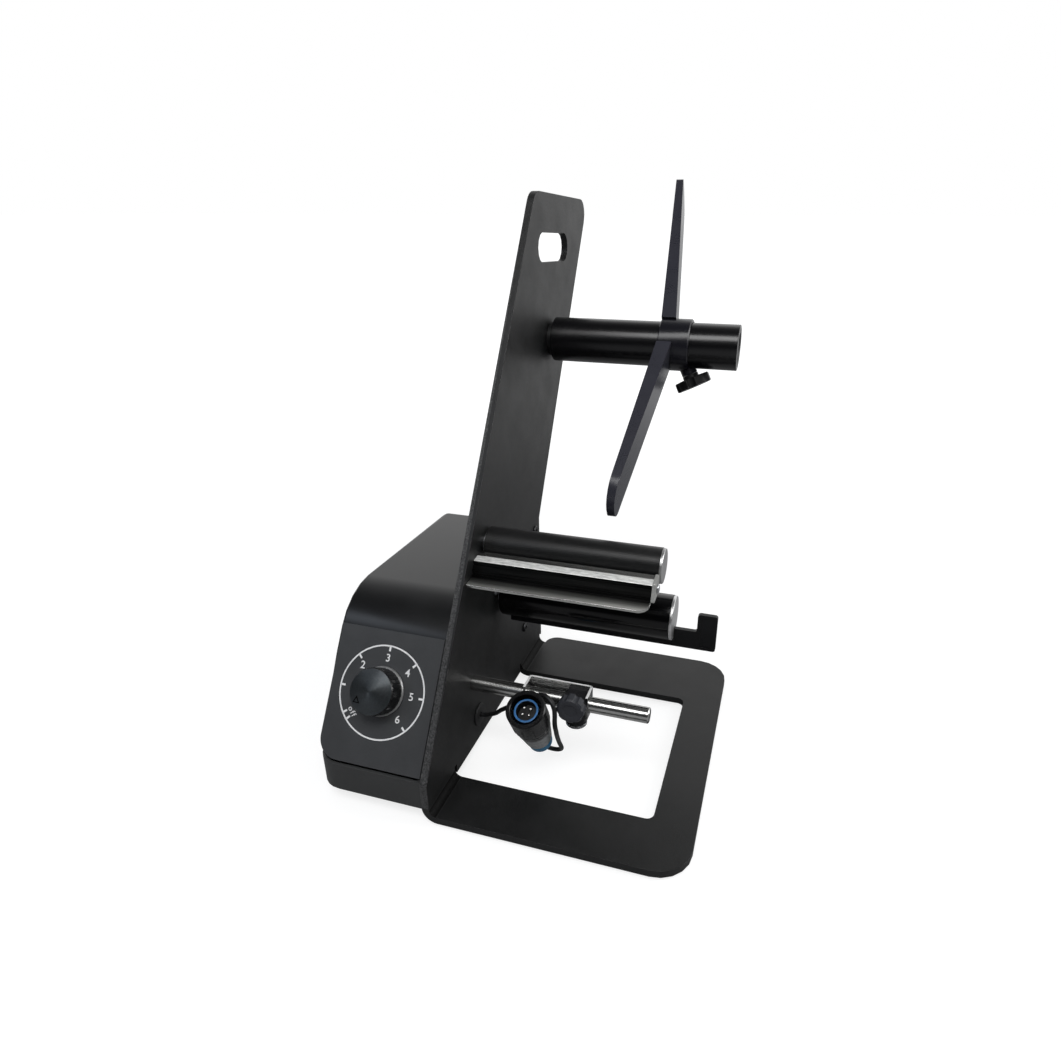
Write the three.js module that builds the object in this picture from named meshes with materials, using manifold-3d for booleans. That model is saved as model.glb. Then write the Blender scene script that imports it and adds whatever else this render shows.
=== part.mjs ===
import * as THREE from 'three';
import { mergeVertices } from 'three/addons/utils/BufferGeometryUtils.js';
import Module from 'manifold-3d';

// Compact electric label dispenser: bent steel frame, drive housing, supply tube with roll guide,
// guide roller, peel bar, take-up roller with liner clip, and a label sensor on a cross rod.
// Millimetres. X runs along the rollers, Y to the back, Z up. X = 0 is the inner face of the tower,
// Y = 0 the front edge of the base, Z = 0 the underside of the base; the whole is then centred.

const wasm = await Module();
wasm.setup();

// Small numbers of segments for round forms
const round_sides = 32;
const fine_sides = 40;
const small_sides = 20;
const tiny_sides = 14;
const arc_steps = 5;
const merge_share = 1e-4;

// Clearances
const gap_run = 0.3;
const gap_fit = 0.15;
const cut_over = 2;

// Frame plate: one piece of bent steel
const plate_t = 4.5;
const base_w = 145.5;
const base_d = 200;
const base_corner_r = 20;
const bend_outer_r = 9.3;
const leg_front_y = 34.3;
const leg_rear_y = 149.2;
const leg_right_x = 120.8;
const opening_r = 4.5;
const bend_rear_y = 190.5;
const tower_low_z = 4.2;
const relief_w = 2.6;
const relief_top_z = 10.6;
const tower_kink_z = 25.8;
const tower_lean_deg = 33.35;
const tower_back_y = 194.2;
const tower_back_kink_z = 109;
const tower_back_lean_deg = 29.94;
const tower_top_front_z = 326.6;
const tower_top_rear_z = 321.8;
const tower_top_front_r = 13;
const tower_top_rear_r = 11;
const tower_kink_r = 5;
const handle_y = 233.6;
const handle_z = 292.2;
const handle_l = 63.4;
const handle_h = 18.2;
const handle_straight_l = 42.4;
const handle_tilt_deg = -2.2;
const foot_h = 2;
const foot_r = 6.5;
const foot_inset = 17;

// Housing left of the tower
const housing_w = 68.5;
const housing_setback = 1.7;
const housing_top_z = 108.5;
const housing_rear_y = 190;
const hood_bend_r = 40;
const hood_wall = 1.6;
const hood_edge_r = 5;
const hood_low_z = 26.4;
const hood_rear_r = 8.5;
const hood_corner_r = 14;
const hood_tab_w = 11;
const hood_tab_l = 9;
const tray_low_z = 8;
const tray_top_z = 25.9;
const tray_wall = 2;
const tray_corner_r = 14;
const tray_front_y = 0.6;
const tray_tab_w = 9;

// Supply tube
const tube_y = 227.1;
const tube_z = 232.7;
const tube_r = 14.8;
const tube_wall = 2.2;
const tube_gap = 3.5;
const tube_end_x = 129.8;
const hub_r = 20;
const axle_r = 6;

// Guide roller behind the peel bar
const guide_y = 99;
const guide_z = 130.6;
const guide_r = 10.6;
const guide_gap = 2;
const guide_end_x = 109;
const guide_axle_r = 4;

// Peel bar
const peel_end_x = 106.2;
const peel_ridge_y = 77.5;
const peel_ridge_z = 128.9;

// Take-up roller
const take_y = 119;
const take_z = 86;
const take_r = 14.2;
const take_gap = 3;
const take_end_x = 114.4;

// Sensor rod
const rod_y = 66.7;
const rod_z = 49.9;
const rod_r = 4.75;
const rod_end_x = 110.6;

// Dial on the sloping front panel
const dial_x = -38.4;
const dial_along = 44.9;

const deg = Math.PI / 180;
const tower_slope = Math.tan(tower_lean_deg * deg);
const back_slope = Math.tan(tower_back_lean_deg * deg);
const axis_x = new THREE.Vector3(1, 0, 0);
const axis_y = new THREE.Vector3(0, 1, 0);
const axis_z = new THREE.Vector3(0, 0, 1);

// Materials
const paint = (colour, roughness, metalness) =>
  new THREE.MeshStandardMaterial({ color: colour, roughness, metalness });
const powder_black = paint(0x2b2b2c, 0.62, 0.1);
const overlay_black = paint(0x26262a, 0.5, 0);
const gloss_black = paint(0x141416, 0.25, 0.3);
const rubber_black = paint(0x1c1c1d, 0.8, 0);
const plastic_black = paint(0x202022, 0.45, 0);
const stainless = paint(0xc4c4c0, 0.28, 1);
const alloy = paint(0xa2a4a4, 0.4, 1);
const zinc = paint(0xb0b2b5, 0.35, 1);
const blue_plastic = paint(0x1d6fae, 0.4, 0);
const grey_plastic = paint(0x77797a, 0.5, 0);
const board_green = paint(0x1f5a38, 0.6, 0);
const brass = paint(0xb08d4a, 0.35, 1);

const machine = new THREE.Group();
machine.name = 'label_dispenser';

// Turn a geometry into a solid and back
function solid(geometry) {
  const plain = geometry.clone();
  plain.deleteAttribute('normal');
  plain.deleteAttribute('uv');
  const merged = mergeVertices(plain, merge_share);
  const xyz = merged.attributes.position.array;
  const tris = dropThin(Array.from(merged.index.array));
  let volume = 0;
  for (let i = 0; i < tris.length; i += 3) {
    const [a, b, c] = [tris[i] * 3, tris[i + 1] * 3, tris[i + 2] * 3];
    volume += xyz[a] * (xyz[b + 1] * xyz[c + 2] - xyz[b + 2] * xyz[c + 1])
      - xyz[a + 1] * (xyz[b] * xyz[c + 2] - xyz[b + 2] * xyz[c])
      + xyz[a + 2] * (xyz[b] * xyz[c + 1] - xyz[b + 1] * xyz[c]);
  }
  if (volume < 0) {
    for (let i = 0; i < tris.length; i += 3) [tris[i], tris[i + 1]] = [tris[i + 1], tris[i]];
  }
  return new wasm.Manifold(new wasm.Mesh({
    numProp: 3,
    vertProperties: new Float32Array(xyz),
    triVerts: new Uint32Array(tris),
  }));
}

// Triangles that fell together at an axis are left out
function dropThin(tris) {
  const kept = [];
  for (let i = 0; i < tris.length; i += 3) {
    const [a, b, c] = [tris[i], tris[i + 1], tris[i + 2]];
    if (a !== b && b !== c && a !== c) kept.push(a, b, c);
  }
  return kept;
}

function geometryOf(body) {
  const mesh = body.getMesh();
  const out = new THREE.BufferGeometry();
  const step = mesh.numProp;
  const count = mesh.vertProperties.length / step;
  const xyz = new Float32Array(count * 3);
  for (let i = 0; i < count; i += 1) {
    for (let k = 0; k < 3; k += 1) xyz[i * 3 + k] = mesh.vertProperties[i * step + k];
  }
  out.setAttribute('position', new THREE.BufferAttribute(xyz, 3));
  out.setIndex(new THREE.BufferAttribute(new Uint32Array(mesh.triVerts), 1));
  const loose = out.toNonIndexed();
  loose.computeVertexNormals();
  return loose;
}

function add(name, body, material) {
  const mesh = new THREE.Mesh(geometryOf(body), material);
  mesh.name = name;
  machine.add(mesh);
  return mesh;
}

// Outline with rounded corners: each corner is [a, b, radius]
function roundedOutline(corners) {
  const out = [];
  const n = corners.length;
  for (let i = 0; i < n; i += 1) {
    const [a, b, r] = corners[i];
    const p = new THREE.Vector2(a, b);
    if (!r) { out.push(p); continue; }
    const before = corners[(i + n - 1) % n];
    const after = corners[(i + 1) % n];
    const u = new THREE.Vector2(before[0], before[1]).sub(p).normalize();
    const v = new THREE.Vector2(after[0], after[1]).sub(p).normalize();
    const half = Math.acos(THREE.MathUtils.clamp(u.dot(v), -1, 1)) / 2;
    const reach = r / Math.tan(half);
    const mid = u.clone().add(v).normalize();
    const centre = p.clone().addScaledVector(mid, r / Math.sin(half));
    const from = p.clone().addScaledVector(u, reach).sub(centre);
    const to = p.clone().addScaledVector(v, reach).sub(centre);
    let turn = to.angle() - from.angle();
    if (turn > Math.PI) turn -= 2 * Math.PI;
    if (turn < -Math.PI) turn += 2 * Math.PI;
    const steps = Math.max(2, Math.ceil(Math.abs(turn) / (Math.PI / 2) * arc_steps));
    for (let k = 0; k <= steps; k += 1) {
      const angle = from.angle() + turn * k / steps;
      out.push(new THREE.Vector2(centre.x + r * Math.cos(angle), centre.y + r * Math.sin(angle)));
    }
  }
  return out;
}

// Extrusions: outline in YZ along X, in XY along Z, in XZ along Y
const frame_x = new THREE.Matrix4().makeBasis(axis_y, axis_z, axis_x);
const frame_y = new THREE.Matrix4().makeBasis(axis_z, axis_x, axis_y);

function prism(points, length) {
  const shape = new THREE.Shape(points);
  return new THREE.ExtrudeGeometry(shape, { depth: length, bevelEnabled: false });
}

function prismX(points, x0, x1) {
  const g = prism(points, x1 - x0);
  g.applyMatrix4(frame_x);
  g.translate(x0, 0, 0);
  return solid(g);
}

function prismZ(points, z0, z1) {
  const g = prism(points, z1 - z0);
  g.translate(0, 0, z0);
  return solid(g);
}

// Outline given as [x, z] pairs, run along Y
function prismY(corners, y0, y1) {
  const swapped = roundedOutline(corners.map(([x, z, r]) => [z, x, r]));
  const g = prism(swapped, y1 - y0);
  g.applyMatrix4(frame_y);
  g.translate(0, y0, 0);
  return solid(g);
}

function block(x0, x1, y0, y1, z0, z1) {
  const g = new THREE.BoxGeometry(x1 - x0, y1 - y0, z1 - z0);
  g.translate((x0 + x1) / 2, (y0 + y1) / 2, (z0 + z1) / 2);
  return solid(g);
}

// Turned form: profile of [radius, distance] pairs about an axis through a point
function turned(profile, origin, direction, sides = round_sides) {
  const g = new THREE.LatheGeometry(profile.map(([r, h]) => new THREE.Vector2(r, h)), sides);
  const q = new THREE.Quaternion().setFromUnitVectors(axis_y, direction.clone().normalize());
  g.applyQuaternion(q);
  g.translate(origin.x, origin.y, origin.z);
  return solid(g);
}

function rod(r, x0, x1, y, z, sides = round_sides) {
  return turned([[0, x0], [r, x0], [r, x1], [0, x1]], new THREE.Vector3(0, y, z), axis_x, sides);
}

function rodAlong(r, from, direction, h0, h1, sides = small_sides) {
  return turned([[0, h0], [r, h0], [r, h1], [0, h1]], from, direction, sides);
}

// Frame plate: tower and base ring bent from one sheet, with reliefs at the ends of the bends
function towerY(z) {
  return (z - tower_kink_z) * tower_slope;
}

function framePlate() {
  const back_top_y = tower_back_y + (tower_top_rear_z - tower_back_kink_z) * back_slope;
  const tower = prismX(roundedOutline([
    [0, bend_outer_r, 0],
    [0, tower_kink_z, tower_kink_r],
    [towerY(tower_top_front_z), tower_top_front_z, tower_top_front_r],
    [back_top_y, tower_top_rear_z, tower_top_rear_r],
    [tower_back_y, tower_back_kink_z, tower_kink_r],
    [tower_back_y, bend_outer_r, 0],
    [leg_rear_y, bend_outer_r, 0],
    [leg_rear_y, tower_low_z, 0],
    [leg_front_y, tower_low_z, 0],
    [leg_front_y, bend_outer_r, 0],
  ]), -plate_t, 0);

  const bend_x = bend_outer_r - plate_t;
  const base = prismZ(roundedOutline([
    [bend_x, 0, 0],
    [base_w, 0, base_corner_r],
    [base_w, base_d, base_corner_r],
    [bend_x, base_d, base_d - bend_rear_y],
  ]), 0, plate_t);

  const bend_section = [];
  const bend_steps = 8;
  for (let k = 0; k <= bend_steps; k += 1) {
    const a = Math.PI + (Math.PI / 2) * k / bend_steps;
    bend_section.push([bend_x + bend_outer_r * Math.cos(a), bend_outer_r + bend_outer_r * Math.sin(a), 0]);
  }
  for (let k = bend_steps; k >= 0; k -= 1) {
    const a = Math.PI + (Math.PI / 2) * k / bend_steps;
    bend_section.push([bend_x + bend_x * Math.cos(a), bend_outer_r + bend_x * Math.sin(a), 0]);
  }
  const front_bend = prismY(bend_section, 0, leg_front_y);
  const rear_bend = prismY(bend_section, leg_rear_y, bend_rear_y);
  let plate = tower.add(base).add(front_bend).add(rear_bend);

  const opening = prismZ(roundedOutline([
    [-plate_t - cut_over, leg_front_y, 0],
    [leg_right_x, leg_front_y, opening_r],
    [leg_right_x, leg_rear_y, opening_r],
    [-plate_t - cut_over, leg_rear_y, 0],
  ]), -cut_over, tower_low_z);
  plate = plate.subtract(opening);
  const over_bend = prismZ(roundedOutline([
    [gap_fit, leg_front_y, 0],
    [leg_right_x, leg_front_y, opening_r],
    [leg_right_x, leg_rear_y, opening_r],
    [gap_fit, leg_rear_y, 0],
  ]), 0, bend_outer_r + cut_over);
  plate = plate.subtract(over_bend);
  for (const y of [leg_front_y, leg_rear_y - relief_w, bend_rear_y]) {
    plate = plate.subtract(block(-plate_t - cut_over, gap_fit + cut_over, y, y + relief_w,
      -cut_over, relief_top_z));
  }

  // Handle hole with bowed ends
  const half_l = handle_l / 2;
  const half_s = handle_straight_l / 2;
  const half_h = handle_h / 2;
  const bow = half_l - half_s;
  const bow_r = (half_h * half_h + bow * bow) / (2 * bow);
  const bow_angle = Math.asin(half_h / bow_r);
  const hole = [];
  const bow_steps = 6;
  for (const side of [1, -1]) {
    for (let k = 0; k <= bow_steps; k += 1) {
      const a = -bow_angle + 2 * bow_angle * k / bow_steps;
      hole.push(new THREE.Vector2(
        side * (half_l - bow_r + bow_r * Math.cos(a)), side * bow_r * Math.sin(a)));
    }
  }
  const tilt = handle_tilt_deg * deg;
  const turned_hole = hole.map((p) => p.rotateAround(new THREE.Vector2(0, 0), tilt)
    .add(new THREE.Vector2(handle_y, handle_z)));
  plate = plate.subtract(prismX(turned_hole, -plate_t - cut_over, cut_over));

  // Holes for the axles, shaft, screws and lead
  for (const [y, z, r] of plateHoles()) {
    plate = plate.subtract(rod(r, -plate_t - cut_over, cut_over, y, z, small_sides));
  }
  return plate;
}

// Screws through the tower from its inner face
const case_screw_upper_y = 184;
const case_screw_upper_z = 103.2;
const case_screw_lower_y = 156.9;
const case_screw_lower_z = 36.9;
const case_screw_upper = [case_screw_upper_y, case_screw_upper_z];
const case_screw_lower = [case_screw_lower_y, case_screw_lower_z];
const case_screw_r = 1.9;
const case_screw_head_r = 3.4;
const case_screw_head_h = 1.6;
const case_screw_l = 10;
const grommet_y = 72.4;
const grommet_z = 21.5;
const grommet_hole_r = 6.6;
const hub_bolt_r = 4;
const guide_bolt_r = 3;
const peel_screw_r = 2;
const peel_screw_y = 82.2;
const peel_screw_z = 124.6;
const peel_screw_points = [[peel_screw_y, peel_screw_z]];
const take_boss_r = 7;
const motor_screw_circle_r = 12.5;
const motor_screw_r = 1.5;
const motor_screw_angles_deg = [30, 150, 270];
const rod_screw_r = 2.5;

function plateHoles() {
  const holes = [
    [...case_screw_upper, case_screw_r + gap_fit],
    [...case_screw_lower, case_screw_r + gap_fit],
    [grommet_y, grommet_z, grommet_hole_r],
    [tube_y, tube_z, hub_bolt_r + gap_fit],
    [guide_y, guide_z, guide_bolt_r + gap_fit],
    [take_y, take_z, take_boss_r + gap_fit],
    [rod_y, rod_z, rod_screw_r + gap_fit],
  ];
  for (const [y, z] of peel_screw_points) holes.push([y, z, peel_screw_r + gap_fit]);
  for (const a of motor_screw_angles_deg) {
    holes.push([take_y + motor_screw_circle_r * Math.cos(a * deg),
      take_z + motor_screw_circle_r * Math.sin(a * deg), motor_screw_r + gap_fit]);
  }
  return holes;
}

add('frame_plate', framePlate(), powder_black);

// Thin rubber feet, set back under the base and taller ones under the tray
const foot_points = [
  [foot_inset, foot_inset], [base_w - foot_inset, foot_inset],
  [foot_inset, base_d - foot_inset], [base_w - foot_inset, base_d - foot_inset],
];
foot_points.forEach(([x, y], i) => {
  add(`base_foot_${i + 1}`, rodAlong(foot_r, new THREE.Vector3(x, y, 0), axis_z, -foot_h, 0), rubber_black);
});
const tray_foot_x = -56;
const tray_foot_front_y = 24;
const tray_foot_rear_y = 166;
const tray_foot_points = [[tray_foot_x, tray_foot_front_y], [tray_foot_x, tray_foot_rear_y]];
tray_foot_points.forEach(([x, y], i) => {
  add(`tray_foot_${i + 1}`,
    rodAlong(foot_r, new THREE.Vector3(x, y, 0), axis_z, -foot_h, tray_low_z), rubber_black);
});

// Housing outline seen from the side
const case_right_x = -plate_t;
const case_left_x = -plate_t - housing_w;
function panelY(z) {
  return towerY(z) + housing_setback;
}

function hoodOutline(inset, low_z) {
  const slope_cos = Math.cos(tower_lean_deg * deg);
  const shift = inset / slope_cos;
  const top = housing_top_z - inset;
  const rear = housing_rear_y - inset;
  return roundedOutline([
    [panelY(low_z) + shift, low_z, 0],
    [panelY(top) + shift, top, hood_bend_r - inset],
    [rear, top, hood_rear_r - inset],
    [rear, low_z, 0],
  ].reverse());
}

// Hood: sloping front panel, wide bend, flat top and left side as one shell open to the tower
const hood_floor_lip = 6;
const inlet_z = 44;
const inlet_x = -36;
const inlet_r = 6;
const dial_shaft_hole_r = 4.2;
const vent_count = 6;
const vent_first_y = 118;
const vent_step_y = 8;
const vent_w = 2.4;
const vent_low_z = 60;
const vent_high_z = 86;
function panelPoint(along, out) {
  const a = tower_lean_deg * deg;
  return new THREE.Vector3(dial_x,
    housing_setback + along * Math.sin(a) - out * Math.cos(a),
    tower_kink_z + along * Math.cos(a) + out * Math.sin(a));
}
const panel_normal = new THREE.Vector3(0, -Math.cos(tower_lean_deg * deg), Math.sin(tower_lean_deg * deg));

// All that lies behind the slope, with the rounded lower corner on the free side
function panelCorner(inset) {
  const low = (hood_low_z - tower_kink_z) / Math.cos(tower_lean_deg * deg);
  return panelPrism(roundedOutline([
    [case_left_x + inset, low + inset, hood_corner_r - inset],
    [case_right_x + housing_w, low + inset, 0],
    [case_right_x + housing_w, low + base_d, 0],
    [case_left_x + inset, low + base_d, 0],
  ]), -base_d, hood_corner_r);
}

// Outline in the plane of the slope, run along its normal
function panelPrism(points, from, to) {
  const g = prism(points, to - from);
  g.translate(0, 0, from);
  const a = tower_lean_deg * deg;
  const up_slope = new THREE.Vector3(0, Math.sin(a), Math.cos(a));
  g.applyMatrix4(new THREE.Matrix4().makeBasis(axis_x, up_slope, panel_normal));
  g.translate(0, housing_setback, tower_kink_z);
  return solid(g);
}

function hood() {
  const g = new THREE.ExtrudeGeometry(new THREE.Shape(hoodOutline(hood_edge_r, hood_low_z - cut_over)), {
    depth: housing_w, bevelEnabled: true, bevelSize: hood_edge_r, bevelThickness: hood_edge_r,
    bevelSegments: 4, curveSegments: 1,
  });
  g.applyMatrix4(frame_x);
  g.translate(case_left_x + hood_edge_r, 0, 0);
  let outer = solid(g);
  outer = outer.subtract(block(case_left_x - cut_over, case_right_x + housing_w + cut_over,
    -base_d, base_d * 2, -base_d, hood_low_z));
  outer = outer.subtract(block(case_right_x, case_right_x + housing_w + base_d,
    -base_d, base_d * 2, -base_d, base_d * 2));
  const inner = prismX(hoodOutline(hood_wall, hood_low_z - cut_over), case_left_x + hood_wall,
    case_right_x + cut_over);
  let shell = outer.intersect(panelCorner(0)).subtract(inner.intersect(panelCorner(hood_wall)));
  const [screw_y, screw_z] = case_screw_upper;
  shell = shell.add(block(case_right_x - hood_tab_l, case_right_x, screw_y - hood_tab_w / 2,
    housing_rear_y - hood_wall / 2, screw_z - hood_tab_w / 2, housing_top_z - hood_wall / 2));
  shell = shell.subtract(rod(case_screw_r + gap_fit, case_right_x - hood_tab_l - cut_over,
    case_right_x + cut_over, screw_y, screw_z, small_sides));
  const hub = panelPoint(dial_along, 0);
  shell = shell.subtract(turned([[0, -cut_over * 3], [dial_shaft_hole_r, -cut_over * 3],
    [dial_shaft_hole_r, cut_over], [0, cut_over]], hub, panel_normal, small_sides));
  shell = shell.subtract(rodAlong(inlet_r + gap_fit, new THREE.Vector3(inlet_x, 0, inlet_z), axis_y,
    housing_rear_y - cut_over * 3, housing_rear_y + cut_over));
  for (let k = 0; k < vent_count; k += 1) {
    const y = vent_first_y + k * vent_step_y;
    shell = shell.subtract(block(case_left_x - cut_over, case_left_x + hood_edge_r,
      y, y + vent_w, vent_low_z, vent_high_z));
  }
  return shell;
}
add('housing_hood', hood(), powder_black);

// Tray under the hood: pan with rounded corners on the free side
function tray() {
  const rear = housing_rear_y;
  const outer = prismZ(roundedOutline([
    [case_right_x, tray_front_y, 0],
    [case_right_x, rear, 0],
    [case_left_x, rear, tray_corner_r],
    [case_left_x, tray_front_y, tray_corner_r],
  ]), tray_low_z, tray_top_z);
  const inner = prismZ(roundedOutline([
    [case_right_x - tray_wall, tray_front_y + tray_wall, 0],
    [case_right_x - tray_wall, rear - tray_wall, 0],
    [case_left_x + tray_wall, rear - tray_wall, tray_corner_r - tray_wall],
    [case_left_x + tray_wall, tray_front_y + tray_wall, tray_corner_r - tray_wall],
  ]), tray_low_z + tray_wall, tray_top_z + cut_over);
  const [screw_y, screw_z] = case_screw_lower;
  const lug = block(case_right_x - tray_wall * 2, case_right_x, screw_y - tray_tab_w, screw_y + tray_tab_w,
    tray_top_z - tray_wall * 4, screw_z + tray_tab_w * 0.7);
  const lug_hole = rod(case_screw_r + gap_fit, case_right_x - tray_wall * 2 - cut_over, case_right_x + cut_over,
    screw_y, screw_z, small_sides);
  const mouth = rod(grommet_hole_r + cut_over, case_right_x - tray_wall - cut_over, case_right_x + cut_over,
    grommet_y, grommet_z, small_sides);
  return outer.subtract(inner).add(lug).subtract(lug_hole).subtract(mouth);
}
add('housing_tray', tray(), powder_black);

// Front overlay: thin printed panel on the slope, with the dial in its middle
const overlay_t = 0.4;
const overlay_low = 4.2;
const overlay_high = 79.6;
const overlay_left_x = -70.4;
const overlay_right_x = -6.2;
const overlay_corner_r = 3;

function overlay() {
  const points = roundedOutline([
    [overlay_left_x, overlay_low, hood_corner_r - (overlay_left_x - case_left_x)],
    [overlay_right_x, overlay_low, overlay_corner_r],
    [overlay_right_x, overlay_high, overlay_corner_r],
    [overlay_left_x, overlay_high, overlay_corner_r],
  ]);
  const hub = panelPoint(dial_along, 0);
  return panelPrism(points, 0, overlay_t).subtract(turned([[0, -cut_over], [dial_shaft_hole_r, -cut_over],
    [dial_shaft_hole_r, cut_over], [0, cut_over]], hub, panel_normal, small_sides));
}
add('front_overlay', overlay(), overlay_black);

// Speed dial: ribbed knob with a thin bright foot ring, on the shaft of a rotary control
const knob_r = 13.5;
const knob_face_r = 12.9;
const knob_low = 2.4;
const knob_high = 13.2;
const knob_dome = 1.5;
const knob_ribs = 32;
const knob_rib_r = 0.5;
const knob_bore_r = 3;
const knob_dish = 0.5;
const knob_rim = 1.2;
const ring_r = 14.3;
const ring_low = 0.9;
const ring_in_r = 9.5;

function dialKnob() {
  const hub = panelPoint(dial_along, 0);
  let knob = turned([[0, knob_low], [knob_r, knob_low], [knob_r, knob_high - knob_rim],
    [knob_face_r, knob_high], [knob_face_r * 0.66, knob_high + knob_dome * 0.5],
    [knob_face_r * 0.33, knob_high + knob_dome * 0.85], [0, knob_high + knob_dome]],
  hub, panel_normal, knob_ribs * 2);
  const across = new THREE.Vector3(1, 0, 0);
  for (let k = 0; k < knob_ribs; k += 1) {
    const d = across.clone().applyAxisAngle(panel_normal, 2 * Math.PI * (k + 0.5) / knob_ribs);
    const p = hub.clone().addScaledVector(d, knob_r + knob_rib_r * 0.4);
    knob = knob.subtract(rodAlong(knob_rib_r, p, panel_normal, knob_low - cut_over, knob_high - knob_rim, 6));
  }
  return knob.subtract(rodAlong(knob_bore_r, hub, panel_normal, knob_low - cut_over,
    knob_high - knob_rim * 2, tiny_sides));
}
add('dial_knob', dialKnob(), plastic_black);

add('dial_foot_ring', turned([[ring_in_r, ring_low], [ring_r, ring_low], [ring_r, ring_low + knob_rim * 0.6],
  [ring_r - knob_dish, knob_low], [ring_in_r, knob_low], [ring_in_r, ring_low]],
panelPoint(dial_along, 0), panel_normal, fine_sides), alloy);

const pot_r = 8;
const pot_h = 9;
const pot_bush_r = 3.9;
const pot_clear = hood_wall + gap_run;
const shaft_r = knob_bore_r - gap_fit / 3;
function potBody() {
  const hub = panelPoint(dial_along, 0);
  const body = turned([[0, -pot_clear - pot_h], [pot_r, -pot_clear - pot_h], [pot_r, -hood_wall],
    [pot_bush_r, -hood_wall], [pot_bush_r, overlay_t], [0, overlay_t]], hub, panel_normal, small_sides);
  return body.subtract(rodAlong(shaft_r + gap_fit, hub, panel_normal, -pot_clear - pot_h / 2,
    knob_low + cut_over, tiny_sides));
}
add('speed_control', potBody(), zinc);
add('speed_control_shaft', rodAlong(shaft_r, panelPoint(dial_along, 0), panel_normal,
  -pot_clear - pot_h / 2 + gap_run, knob_high - knob_rim * 2, tiny_sides), alloy);

// Supply tube: fixed hub with a stub axle, two bearing bushes, tube, end plug and retaining nut
const hub_plate_r = 11.2;
const hub_axle_end_x = 117;
const hub_thread_l = 13;
const nut_r = 7.5;
const nut_h = 5.2;
const washer_r = 10;
const washer_h = 1.4;
const bush_l = 9;
const bush_first_x = 8;
const bush_second_x = 103;
const retainer_r = 8.6;
const retainer_l = 3;
const plug_l = 7;
const plug_rim = 0.9;
const tube_in_r = tube_r - tube_wall;

add('tube_hub', turned([[0, -hub_thread_l], [hub_bolt_r, -hub_thread_l], [hub_bolt_r, 0], [hub_plate_r, 0],
  [hub_plate_r, tube_gap - gap_run], [axle_r, tube_gap - gap_run], [axle_r, hub_axle_end_x], [0, hub_axle_end_x]],
new THREE.Vector3(0, tube_y, tube_z), axis_x), zinc);

function ring(r_in, r_out, x0, x1, y, z, sides = round_sides) {
  return turned([[r_in, x0], [r_out, x0], [r_out, x1], [r_in, x1], [r_in, x0]],
    new THREE.Vector3(0, y, z), axis_x, sides);
}

function hexNut(r, bore, x0, x1, y, z) {
  return rod(r, x0, x1, y, z, 6).subtract(rod(bore, x0 - cut_over, x1 + cut_over, y, z, small_sides));
}
add('hub_nut', hexNut(nut_r, hub_bolt_r + gap_fit, -plate_t - nut_h - washer_h, -plate_t, tube_y, tube_z)
  .add(ring(hub_bolt_r + gap_fit, washer_r, -plate_t - washer_h, -plate_t, tube_y, tube_z)), zinc);
add('tube_bush_inner', ring(axle_r + gap_fit, tube_in_r, bush_first_x, bush_first_x + bush_l, tube_y, tube_z),
  plastic_black);
add('tube_bush_outer', ring(axle_r + gap_fit, tube_in_r, bush_second_x, bush_second_x + bush_l, tube_y, tube_z),
  plastic_black);
add('tube_retainer', ring(axle_r, retainer_r, bush_second_x + bush_l + gap_run,
  bush_second_x + bush_l + gap_run + retainer_l, tube_y, tube_z), zinc);
add('supply_tube', turned([[tube_in_r, tube_gap], [tube_r - gap_run, tube_gap], [tube_r, tube_gap + gap_run],
  [tube_r, tube_end_x - gap_run], [tube_r - gap_run, tube_end_x], [tube_in_r, tube_end_x], [tube_in_r, tube_gap]],
new THREE.Vector3(0, tube_y, tube_z), axis_x), gloss_black);
add('tube_end_plug', turned([[0, tube_end_x - plug_l], [tube_in_r, tube_end_x - plug_l],
  [tube_in_r, tube_end_x - gap_run], [tube_in_r - plug_rim, tube_end_x], [tube_in_r - plug_rim * 3, tube_end_x],
  [tube_in_r - plug_rim * 4, tube_end_x - plug_rim], [0, tube_end_x - plug_rim]],
new THREE.Vector3(0, tube_y, tube_z), axis_x), plastic_black);

// Roll guide: collar with two tapered blades set forward of the tube's axis and leaning to the tower
const collar_x0 = 78;
const collar_x1 = 98.4;
const collar_r = 17;
const collar_in_r = tube_r + gap_run;
const collar_chamfer = 0.6;
const blade_angle_deg = 41.4;
const blade_offset = 5.8;
const blade_low_l = 131;
const blade_high_l = 138.5;
const blade_root = 10;
const blade_half_root = 9.6;
const blade_half_tip = 11.6;
const blade_root_x0 = 77.8;
const blade_root_x1 = 87.6;
const blade_tip_x0 = 67.1;
const blade_tip_x1 = 70.6;
const blade_near_r = 18;
const blade_far_r = 4;

// Flat outline, u along the blade and v across it; both faces lean and taper with u
function bladeSolid(length, sense) {
  const outline = roundedOutline([
    [blade_root, -blade_half_root, 0], [length, -blade_half_tip, blade_near_r],
    [length, blade_half_tip, blade_far_r], [blade_root, blade_half_root, 0],
  ]);
  const g = prism(outline, 1);
  const a = blade_angle_deg * deg;
  const [c, s] = [Math.cos(a), Math.sin(a)];
  const centre_y = tube_y - blade_offset * s;
  const centre_z = tube_z + blade_offset * c;
  const p = g.attributes.position;
  for (let i = 0; i < p.count; i += 1) {
    const [u, v, w] = [sense * p.getX(i), sense * p.getY(i), p.getZ(i)];
    const along = (p.getX(i) - blade_root) / (length - blade_root);
    const left = blade_root_x0 + (blade_tip_x0 - blade_root_x0) * along;
    const right = blade_root_x1 + (blade_tip_x1 - blade_root_x1) * along;
    p.setXYZ(i, left + (right - left) * w, centre_y + u * c - v * s, centre_z + u * s + v * c);
  }
  return solid(g);
}

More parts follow.
